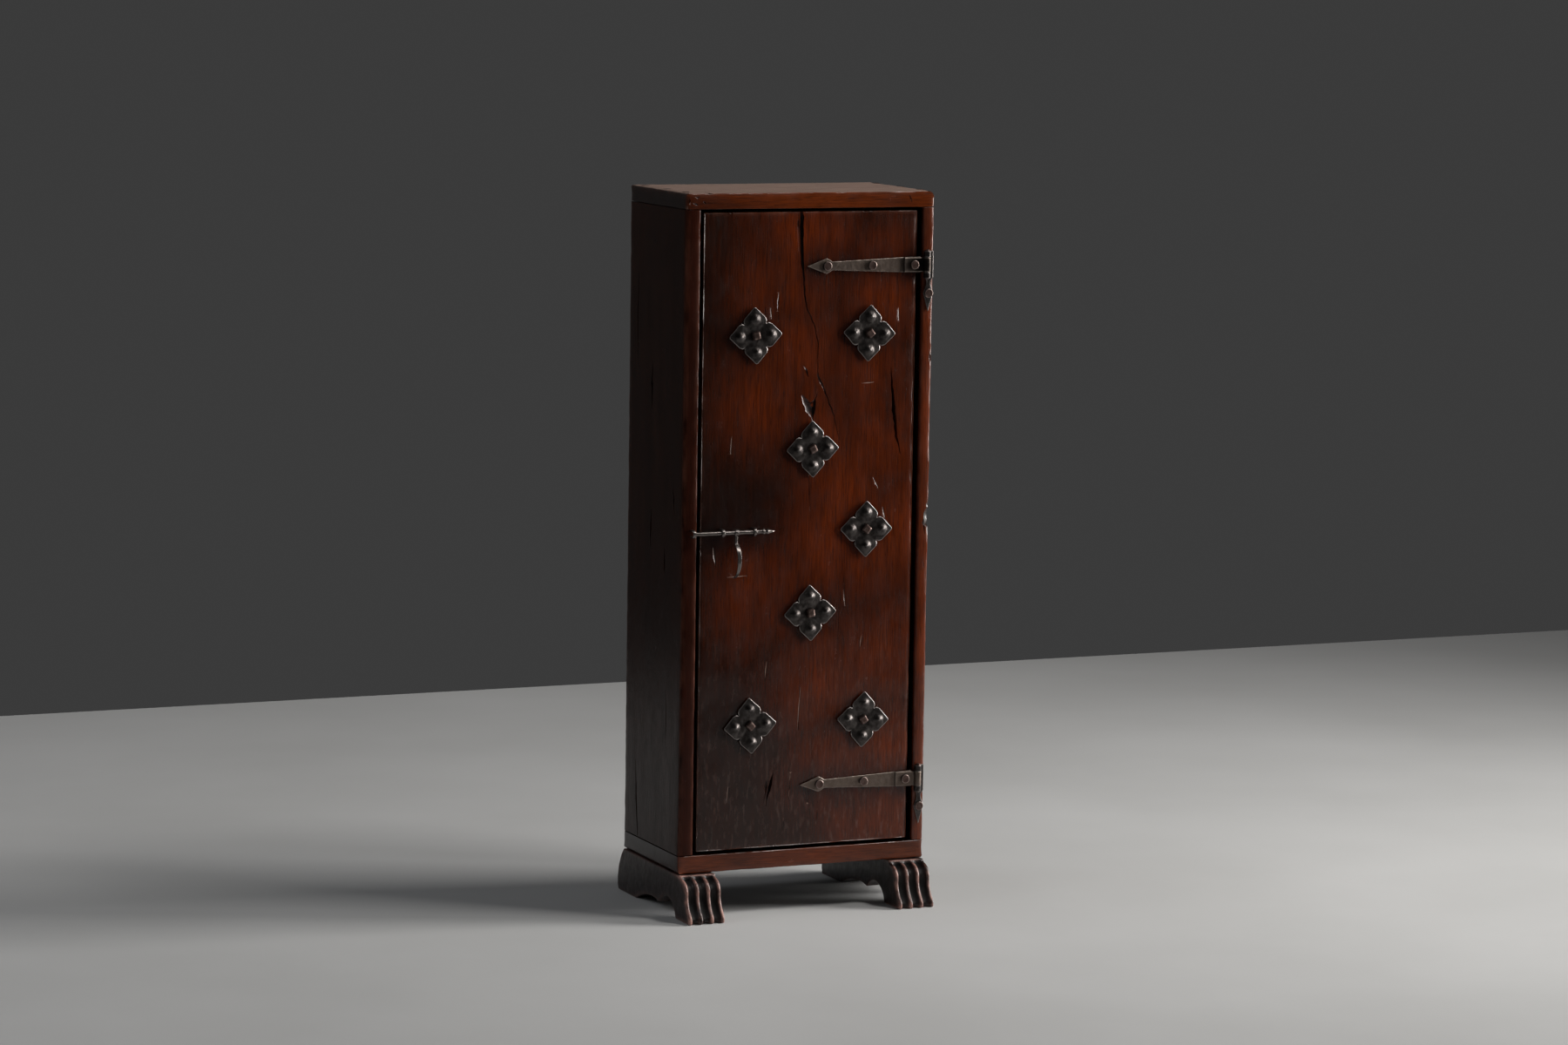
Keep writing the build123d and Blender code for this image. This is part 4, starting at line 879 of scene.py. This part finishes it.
# %% Left board
side_cracks = [
    (X, 3.0, on_left((22, 585, 0.3), (24, 560, 3.0), (26, 527, 0.3))),
    (X, 3.0, on_left((-28, 534, 0.3), (-30, 514, 2.5), (-29, 494, 0.2))),
    (X, 3.0, on_left((73, 208, 0.3), (69, 150, 2.7), (62, 95, 1.0))),
    (X, 3.0, on_left((24, 798, 0.2), (25, 767, 3.3), (25, 728, 0.2))),
    (X, 2.5, on_left((-58, 627, 0.2), (-62, 606, 1.8), (-66, 586, 0.2))),
    (X, 2.5, on_left((80, 940, 0.2), (83, 860, 1.7), (80, 790, 0.2))),
    (X, 2.5, on_left((-40, 330, 0.2), (-43, 290, 1.4), (-41, 250, 0.2))),
]
left_board = case_board("left_side", Z, ENDS, [side_cracks])
finish(left_board, "left_board_worn", "case", left_wood_shaded, ["left_side"])

# %% Right board
big_bite = on_right_arris(
    (618, 0.4), (596, 3.4), (578, 7.6), (566, 8.8), (553, 4.4), (538, 0.5),
)
low_bite = [(right_x - 9, 512, 0.4), (right_x - 8, 503, 1.3), (right_x - 8, 494, 0.3)]
high_bite = [(right_x - 5, 816, 0.4), (right_x - 3, 806, 2.2), (right_x - 4, 798, 0.3)]
inner_bite = [(right_x - 3, 580, 0.5), (right_x - 9, 565, 2.4), (right_x - 6, 548, 0.5)]
right_bites = [
    (X, 1.0, big_bite, 5.0, 1.0, 2),
    (Y, 1.0, on_front(*low_bite), *NICK),
    (Y, 1.0, on_front(*high_bite), *NICK),
    (X, 1.0, on_right_arris((742, 0.3), (731, 2.6), (720, 0.4)), *NICK),
    (X, 1.0, on_right_arris((432, 0.3), (420, 2.3), (404, 0.4)), *NICK),
]
right_board = case_board("right_side", Z, ENDS, [
    right_bites, [(Y, 1.2, on_front(*inner_bite), *NICK)],
])
finish(right_board, "right_board_worn", "case", right_wood_lit_front, ["right_side"])

# %% Top board
TOP_JOINED = ((Z, 0),)
edge_chip = [(-164, front_y + 3, top_z, 0.8), (-159, front_y + 2, top_z, 3.2),
             (-153, front_y + 2, top_z, 0.6)]
left_end_chips = [
    [(-190, top_z - 7, 0.6), (-189, top_z - 12, 1.7), (-191, top_z - 16, 0.4)],
    [(-182, top_z - 6, 0.6), (-178, top_z - 7, 1.9), (-174, top_z - 5, 0.5)],
    [(-184, top_z - 15, 0.5), (-180, top_z - 16, 1.6), (-177, top_z - 18, 0.4)],
    [(-169, top_z - 12, 0.5), (-167, top_z - 14, 1.3), (-166, top_z - 16, 0.4)],
]
right_end_chip = [(154, top_z - 6, 0.4), (156, top_z - 11, 1.4), (158, top_z - 17, 0.3)]
top_chips = [
    (Z, 0.6, edge_chip, 3.0, 2.0, 1),
    *[(Y, 0.9, on_front(*chip), *CHIP) for chip in left_end_chips],
    (Y, 1.0, on_front(*right_end_chip), *NICK),
]
top_worn = case_board("top_board", X, TOP_JOINED, [top_chips], [
    (lambda middle: middle.x > (right_x - 0.1) * MM and middle.z > cad_high.z - MM, 11 * MM),
    (lambda middle: middle.x < (left_x + 0.1) * MM and middle.z > cad_high.z - MM, 5 * MM),
])
# The top board is painted paler where it faces up: partly dust, partly a painted sheen.
DUST_AND_SHEEN_START, DUST_AND_SHEEN_BAND = 0.75, 0.2
write_layer(top_worn, "dust_and_sheen", (normals_of(top_worn)[:, 2] - DUST_AND_SHEEN_START) / DUST_AND_SHEEN_BAND)
finish(top_worn, "top_board_worn", "case", rail_wood, ["top_board"])

# %% Bottom board
BOTTOM_JOINED = ((Z, 1),)
case_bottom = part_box("bottom_board")[0].z
bottom_worn = case_board("bottom_board", X, BOTTOM_JOINED, corners=[
    (lambda middle: abs(middle.x) > (right_x - 0.1) * MM and middle.z < case_bottom + MM, 5 * MM),
])
finish(bottom_worn, "bottom_board_worn", "case", rail_wood, ["bottom_board"])

# %% The back planks
for node in ("back_plank_left", "back_plank_right"):
    piece = plank(node, Z, 0.8 * MM, 0.5 * MM, 0.255 * MM)
    finish(piece, node + "_sawn", "case", back_wood, [node])

# %% [markdown]
# ## The door
# One plank, 336 mm wide, cut from beside the heart of a tree: so it has split from the top
# down, bending round a knot and running out below it. The knot has lost the wood under it,
# which left a wedge with one bright flank below a curved crack. Two short gouges and some
# scratches are from use. The face is pushed in a little more than the back, in long soft
# waves, as a hand plane leaves a wide board.

# %% The door
door = plank("door_panel", Z, 2.8 * MM, 0.8 * MM, 1.105 * MM)
face = door.vertex_groups.new(name="face")
on_face = np.flatnonzero(normals_of(door)[:, 1] < -0.9)
face.add([int(index) for index in on_face], 1.0, "REPLACE")
roughen(door, "hand_planed", 60 * MM, 1.4 * MM, depth=1, vertex_group="face")
split = on_front(
    (-15.5, 1026, 4.2), (-14.5, 988, 3.5), (-13.5, 950, 2.4), (-10, 912, 1.5), (-5, 881, 1.2),
    (6, 860, 1.0), (14, 831, 0.8), (13, 790, 0.7), (20, 774, 1.0), (29, 754, 1.3),
    (40, 725, 0.9), (50, 690, 0.25),
)
slit = on_front((129.5, 794, 0.3), (132, 767, 1.7), (135.5, 730, 2.9), (140.5, 693, 2.0),
                (147, 667, 0.4))
low_slit = on_front((-47, 207, 0.4), (-51, 191, 2.7), (-55, 176, 1.8), (-58, 158, 0.3))
mark(door, [(Y, 2.4, split), (Y, 2.0, slit, 6.0, 1.2), (Y, 1.6, low_slit, 5.0)])
split_lip = on_front((-21, 1018, 1.2), (-19.5, 990, 3.4), (-17, 955, 2.2), (-14, 925, 0.4))
slit_lip = on_front((-56, 204, 0.8), (-59, 186, 3.0), (-62, 164, 0.4))
mark(door, [(Y, 0.4, lip, 6.0, 1.0, 1) for lip in (split_lip, slit_lip)])

# %% The lost knot
hollow = on_front((-11, 758, 0.8), (-7, 750, 3.8), (-2, 742, 6.2), (2, 734, 5.0),
                  (5, 727, 2.8), (7, 719, 0.5))
mark(door, [(Y, 0.38, hollow, 3.0, 0.5, 3)])
arc = on_front((-3, 746, 0.5), (3, 745, 1.5), (8, 748, 1.5), (12, 755, 1.0), (13, 762, 0.3))
mark(door, [(Y, 0.9, arc, 3.0, 0.5, 1)])
notch = on_front((10.5, 752, 0.8), (9, 744, 3.2), (8, 734, 2.6), (6.5, 722, 0.6))
chip = on_front((-9, 799, 0.8), (-4, 793, 2.6), (-1, 783, 0.6))
lip = on_front((12, 788, 0.4), (16.0, 779, 1.9), (22, 767, 1.2), (26, 757, 0.4))
mark(door, [(Y, 1.4, notch, *NICK), (Y, 0.8, chip, 3.0, 1.5, 1), (Y, 0.8, lip, 4.0, 0.8, 1)])

# %% Scratches
SCRATCHES = [
    ((104, 634), (112, 619)), ((-70, 889), (-71, 866)), ((-62, 884), (-60, 868)),
    ((-50, 905), (-51, 880)), ((118, 298), (117, 262)), ((-98, 262), (-100, 238)),
    ((-20, 205), (-22, 170)), ((10, 190), (8, 160)), ((24, 150), (22, 128)),
    ((-6, 330), (-10, 268)), ((2, 640), (4, 590)), ((-30, 140), (-31, 118)),
    ((-124, 497), (-94, 498)), ((-147, 540), (-143, 515)), ((84, 772), (103, 773)),
    ((-118, 190), (-120, 168)), ((60, 470), (63, 447)), ((90, 402), (88, 386)),
    ((-60, 372), (-62, 350)), ((140, 880), (141, 862)), ((-120, 700), (-121, 676)),
    ((120, 590), (124, 575)),
]
SCRATCH_BOTTOM = 0.1 * MM
scratch_tools = []
for (x0, z0), (x1, z1) in SCRATCHES:
    path = on_front((x0, z0, 0.2), ((x0 + x1) / 2, (z0 + z1) / 2, 1.1), (x1, z1, 0.2))
    scratch_tools.append((Y, 0.6, path, 6.0, 0.0))
before = {tuple(place) for place in places_of(door).round(6)}
mark(door, scratch_tools)

# %% The bottoms of the scratches are bare, pale wood
weather(door, "door_panel", (), 1.6 * MM)
places = places_of(door)
new = np.array([tuple(place) not in before for place in places.round(6)])
nearest = np.full(len(places), 1.0)
for start, end in SCRATCHES:
    start, run = np.array(start) * MM, (np.array(end) - np.array(start)) * MM
    aside = places[:, [X, Z]] - start
    share = np.clip(aside @ run / (run @ run), 0, 1)
    nearest = np.minimum(nearest, np.linalg.norm(aside - share[:, None] * run, axis=1))
scraped = new & (nearest < SCRATCH_BOTTOM)
write_layer(door, "scraped", scraped)
print("scratch bottoms:", int(scraped.sum()), "points")
finish(door, "door_plank_worn", "door", door_wood, ["door_panel"])

# %% [markdown]
# ## The carved feet
# The solid feet already have the right outline and their three grooves. What they lack is the
# carver's hand: no edge on them is sharp. A copy of each is merged, rebuilt from small even
# cells, and smoothed until the ridges are round, then dented a little, only inwards. Their
# ridges are painted pale, partly as wear and partly as painted highlights, most on the toes and
# least on the sides, and their grooves are painted dark as painted shade.

# %% Rubbing by hand: what stands proud is worn and gets a painted highlight, what lies hollow is dark, on the feet as painted shade
def mark_wear_and_painted_light(piece, rounds, start, full, worn_and_highlit_share=1.0):
    """Compares each point with a smoothed copy of the surface and stores how proud or deep it is.

    rounds: how often the copy is smoothed. start and full: how far a point has to lie from it
    to be marked at all, and to be marked fully. favour: how much of the wear and painted
    highlight it gets.
    """
    places = places_of(piece)
    ends = np.empty(len(piece.data.edges) * 2, int)
    piece.data.edges.foreach_get("vertices", ends)
    first, second = ends.reshape(-1, 2).T
    count = len(places)
    ties = np.bincount(first, minlength=count) + np.bincount(second, minlength=count)
    smooth = places.copy()
    for _ in range(rounds):
        summed = [
            np.bincount(first, smooth[second, axis], count)
            + np.bincount(second, smooth[first, axis], count) for axis in (X, Y, Z)
        ]
        smooth = np.stack(summed, 1) / np.maximum(ties, 1)[:, None]
    proud = ((places - smooth) * normals_of(piece)).sum(1)
    write_layer(piece, "worn_and_highlit", worn_and_highlit_share * np.clip((proud - start) / (full - start), 0, 1))
    write_layer(piece, "deep", (-proud - start) / (full - start))
    shares = [round(float(v) / MM, 3) for v in np.percentile(proud, (1, 50, 90, 97, 99))]
    print(piece.name, "stands proud by", shares, "mm at 1, 50, 90, 97 and 99 percent")


def solid_copy(node):
    """A merged copy of a node's loose triangles as a new object."""
    piece = bpy.data.objects.new(node + "_copy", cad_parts[node].data.copy())
    bpy.context.scene.collection.objects.link(piece)
    edit(piece)
    bpy.ops.mesh.select_all(action="SELECT")
    bpy.ops.mesh.remove_doubles(threshold=0.001 * MM)
    leave()
    return piece


# %% The two feet
TOES_START = -75 * MM
TOES_REACH = 30 * MM
for node in ("left_foot", "right_foot"):
    foot = solid_copy(node)
    modify(foot, "REMESH", mode="VOXEL", voxel_size=1.15 * MM)
    modify(foot, "SMOOTH", factor=0.5, iterations=22)
    roughen(foot, "carved", 13 * MM, 0.8 * MM)
    # The pale goes most to the toes and least to the sides, and is partly a painted highlight.
    toe_wear_and_highlight = np.clip((TOES_START - places_of(foot)[:, Y]) / TOES_REACH, 0.25, 1)
    # The feet's grooves are painted dark as painted shade.
    mark_wear_and_painted_light(foot, 40, 0.1 * MM, 1.6 * MM, toe_wear_and_highlight)
    finish(foot, node + "_carved", "case", foot_wood, [node], 60, clean=False)

# %% [markdown]
# ## The rosettes
# Each rosette is cut from sheet iron, a square set on its corner with a nick in the middle of
# each side, and a dome is driven into each of its four lobes from behind. It is modelled the
# same way: a fine grid is lifted at four points with a round falloff and the creases between
# the lobes are pressed in. Then the sheet gets its thickness, its nicks and round corners are
# cut, and it is rebuilt from fine cells and smoothed, as a file takes the edge off. One is
# made and copied, and each copy is turned and dented differently, as no two are alike.

# %% One rosette, lying flat
ROSETTE_SIDE = 59.4 * MM
ROSETTE_SHEET = 2.0 * MM
DOME_PLACE = 17.6 * MM
LOBE_RADIUS, LOBE_HEIGHT = 17.0 * MM, 1.6 * MM
DOME_RADIUS, DOME_HEIGHT = 9.0 * MM, 3.0 * MM
CREASE_RADIUS, CREASE_DEPTH = 5.5 * MM, 0.35 * MM
MIDDLE_RADIUS, MIDDLE_DEPTH = 15 * MM, 1.0 * MM
NICK_RADIUS = 6.0 * MM
NICK_SLOT = 0.6 * MM
CORNER_RADIUS = 3.0 * MM


def lift(piece, spot, height, reach):
    """Lifts the point nearest a spot, and its neighbours with a smooth falloff."""
    grown = bmesh.from_edit_mesh(piece.data)
    nearest = min(grown.verts, key=lambda vert: (vert.co.xy - Vector(spot)).length).co.copy()
    pick(piece, "VERT", lambda co, normal: (co - nearest).length < TOUCHING)
    bpy.ops.transform.translate(
        value=(0, 0, height), use_proportional_edit=True,
        proportional_edit_falloff="SMOOTH", proportional_size=reach,
    )


def rounding_tool(low, high, radius, middles):
    """A block less round bars: what it cuts from a sheet is left with round cheeks."""
    tool = block((*low, -10 * MM), (*high, 10 * MM))
    for middle in middles:
        bpy.ops.object.select_all(action="DESELECT")
        bpy.ops.mesh.primitive_cylinder_add(
            vertices=48, radius=radius, depth=30 * MM, location=(*middle, 0))
        carve(tool, bpy.context.active_object)
    return tool


def make_rosette():
    """A flat rosette with domes, creases, nicks and a rounded rim, in the XY plane."""
    bpy.ops.object.select_all(action="DESELECT")
    bpy.ops.mesh.primitive_grid_add(x_subdivisions=52, y_subdivisions=52, size=ROSETTE_SIDE)
    sheet = bpy.context.active_object
    edit(sheet)
    for sx in (-1, 1):
        for sy in (-1, 1):
            lobe = (sx * DOME_PLACE, sy * DOME_PLACE)
            lift(sheet, lobe, LOBE_HEIGHT, LOBE_RADIUS)
            lift(sheet, lobe, DOME_HEIGHT, DOME_RADIUS)
    half = ROSETTE_SIDE / 2
    for sx, sy in ((1, 0), (-1, 0), (0, 1), (0, -1)):
        for along in (0.35, 0.55, 0.75, 0.92):
            lift(sheet, (sx * half * along, sy * half * along), -CREASE_DEPTH, CREASE_RADIUS)
    lift(sheet, (0, 0), -MIDDLE_DEPTH, MIDDLE_RADIUS)
    leave()
    modify(sheet, "SOLIDIFY", thickness=ROSETTE_SHEET, offset=-1.0)
    cheek, corner, far = half - NICK_RADIUS, half - CORNER_RADIUS, half + 2 * MM
    tools = []
    for quarter in range(4):
        nick = rounding_tool((-NICK_RADIUS, cheek), (NICK_RADIUS, far), NICK_RADIUS - NICK_SLOT,
                             [(-NICK_RADIUS, cheek), (NICK_RADIUS, cheek)])
        tip = rounding_tool((corner, corner), (far, far), CORNER_RADIUS, [(corner, corner)])
        for tool in (nick, tip):
            tool.rotation_euler.z = quarter * math.pi / 2
            settle(tool)
            tools.append(tool)
    carve(sheet, join(tools))
    modify(sheet, "REMESH", mode="VOXEL", voxel_size=0.6 * MM)
    modify(sheet, "SMOOTH", factor=0.5, iterations=4)
    return sheet


rosette = make_rosette()
rosette.location.z = -min(places_of(rosette)[:, 2])
settle(rosette)
print("rosette stands", round(max(places_of(rosette)[:, 2]) / MM, 2), "mm high")

# %% Seven rosettes on the door
FACING = Matrix.Rotation(math.radians(90), 4, "X")
TURNS = (3.0, -2.5, 1.5, -1.0, 2.5, 4.0, -3.0)


def on_door(piece, spot, turn, out=0.0):
    """Stands a flat-lying piece on the front of the door, turned in its own plane."""
    to_spot = Matrix.Translation((spot.x, door_front - out, spot.z))
    piece.matrix_world = to_spot @ FACING @ Matrix.Rotation(math.radians(turn), 4, "Z")
    settle(piece)


for node, spot, turn in zip(rosette_nodes, rosette_middles, TURNS):
    piece = bpy.data.objects.new(node + "_forged", rosette.data.copy())
    bpy.context.scene.collection.objects.link(piece)
    on_door(piece, spot, 45 + turn)
    roughen(piece, "hammered", 9 * MM, 0.4 * MM, 0.5, direction="Y")
    edit(piece)
    pick(piece, "VERT", lambda co, normal: co.y > door_front)
    bpy.ops.transform.resize(value=(1, 0, 1), center_override=(0, door_front, 0))
    leave()
    mark_wear_and_painted_light(piece, 6, 0.10 * MM, 0.28 * MM)
    finish(piece, node + "_forged", "door", rosette_iron, [node], 60, clean=False)
bpy.data.objects.remove(rosette)

# %% [markdown]
# ### Nails
# A rosette nail has a big square head that a few hammer blows left with slanting facets, and
# stands proud of its plate. A strap nail has a round head, driven home until it is domed and
# soft all round. Both are short and fat where they show, so only the head and the first of the
# shank are modelled: the rest is inside the wood.

# %% Rosette nails
def square_nail(width, height, top_share, lean):
    """A forged nail head with slanting sides and a chamfered top, standing on the XY plane."""
    head = block((-width / 2, -width / 2, -2 * MM), (width / 2, width / 2, height))
    edit(head)
    pick(head, "FACE", lambda middle, normal: normal.z > 0.9)
    bpy.ops.transform.resize(value=(top_share, top_share, 1))
    bpy.ops.transform.translate(value=(lean * MM, -lean * MM, 0))
    bpy.ops.mesh.select_all(action="SELECT")
    bpy.ops.mesh.bevel(offset=1.5 * MM, segments=2, affect="EDGES")
    leave()
    modify(head, "SUBSURF", subdivision_type="SIMPLE", levels=2, render_levels=2)
    return head


NAIL_TURNS = (12, 38, 25, 51, 8, 44, 30)
NAIL_HEIGHTS = (7.4, 6.8, 6.8, 6.8, 6.8, 7.4, 6.8)
rosette_nails = []
for number, (spot, turn, height) in enumerate(zip(rosette_middles, NAIL_TURNS, NAIL_HEIGHTS)):
    head = square_nail(13.5 * MM, height * MM, 0.8, 0.4 * math.sin(number * 2.1))
    on_door(head, spot, turn, 0.9 * MM)
    rosette_nails.append(head)
nail_heads = join(rosette_nails)
roughen(nail_heads, "nail_dents", 5 * MM, 0.7 * MM, 0.5)
mark_wear_and_painted_light(nail_heads, 3, 0.12 * MM, 0.6 * MM)
finish(nail_heads, "rosette_nails_forged", "door", nail_iron, ["rosette_nails"], 30)

# %% Strap and leaf nails
def soften(piece, cell, dents, rounds=2):
    """Rebuilds a piece from fine cells, softens its arrises and dents it."""
    modify(piece, "REMESH", mode="VOXEL", voxel_size=cell)
    modify(piece, "SMOOTH", factor=0.5, iterations=rounds)
    roughen(piece, "hammered", 8 * MM, dents, 0.6)
    mark_wear_and_painted_light(piece, 5, 0.07 * MM, 0.45 * MM)


def round_nail(radius, height):
    """A round domed nail head, standing on the XY plane."""
    bpy.ops.object.select_all(action="DESELECT")
    bpy.ops.mesh.primitive_cylinder_add(
        vertices=20, radius=radius, depth=height + 2 * MM, location=(0, 0, height / 2 - MM))
    head = bpy.context.active_object
    edit(head)
    pick(head, "EDGE", lambda middle, along: middle.z > height - 0.1 * MM)
    bpy.ops.mesh.bevel(offset=4.8 * MM, segments=6, affect="EDGES")
    leave()
    return head


def round_nails(spots, name, body, node):
    """Several round nail heads on the iron, as one piece; each spot gives how far out it stands."""
    heads = []
    for spot in spots:
        head = round_nail(6.6 * MM, 3.7 * MM)
        on_door(head, spot, spot.x / MM, door_front - spot.y)
        heads.append(head)
    piece = join(heads)
    soften(piece, 0.6 * MM, 0.6 * MM)
    finish(piece, name, body, nail_iron, [node], 50)


PLATE = 2.5 * MM
STRAP_NAILS = ((31, 1), (102, 1), (168, 2))
LEAF_NAIL_DROP = 42 * MM
strap_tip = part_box("hinge_strap_top")[0].x
leaf_nail_x = middle_of("hinge_leaf_nails").x
round_nails([
    Vector((strap_tip + along * MM, door_front - layers * PLATE, height))
    for height in strap_heights for along, layers in STRAP_NAILS
], "hinge_strap_nails_forged", "door", "hinge_strap_nails")
round_nails([
    Vector((leaf_nail_x, door_front - PLATE, height - LEAF_NAIL_DROP)) for height in strap_heights
], "hinge_leaf_nails_forged", "case", "hinge_leaf_nails")

# %% [markdown]
# ## Hinges and bolt
# The smith drew each strap out of a bar: wide at the eye, narrow at the neck, wide again at the
# spear and down to a point, with its end wrapped round the pin and welded. The solids already
# have these forms, and their eyes and bores have to stay where the pins and the rod run. So
# each solid is copied, its loose triangles are merged, and it is rebuilt from fine cells,
# smoothed and dented, which rounds each arris as a file and a cloth would.

# %% Straps, leaves, keeper, guides, bolt and handle
# Each node with its cell and its dents in millimetres, its rounds of smoothing, its body and
# its iron.
FORGED = [
    ("hinge_strap_top", 0.62, 0.5, 2, "door", strap_iron),
    ("hinge_leaf_top", 0.55, 0.6, 2, "case", rosette_iron),
    ("hinge_strap_bottom", 0.62, 0.5, 2, "door", strap_iron),
    ("hinge_leaf_bottom", 0.55, 0.6, 2, "case", rosette_iron),
    ("bolt_keeper", 0.45, 0.3, 2, "case", bolt_iron),
    ("bolt_guide_left", 0.45, 0.3, 2, "door", bolt_iron),
    ("bolt_guide_right", 0.45, 0.3, 2, "door", bolt_iron),
    ("bolt_rod", 0.4, 0.5, 1, "bolt", bolt_iron),
    ("bolt_handle", 0.4, 0.3, 1, "handle", bolt_iron),
]
for node, cell, dents, rounds, body, iron in FORGED:
    piece = solid_copy(node)
    soften(piece, cell * MM, dents * MM, rounds)
    finish(piece, node + "_forged", body, iron, [node], 60, clean=False)

# %% [markdown]
# ## What stays as it is
# The shelves, the cleats, the pins and the let-in nails have the right shape in the solid
# model, so they stay and only get their finish.

# %% Finishes for the solids that stay
for node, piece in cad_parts.items():
    if piece.hide_render:
        continue
    material = nail_iron
    if node.startswith("shelf"):
        material = cleat_wood if node.startswith("shelf_cleat") else shelf_wood
    piece.data.materials.clear()
    piece.data.materials.append(material)
    print("kept:", node, material.name)
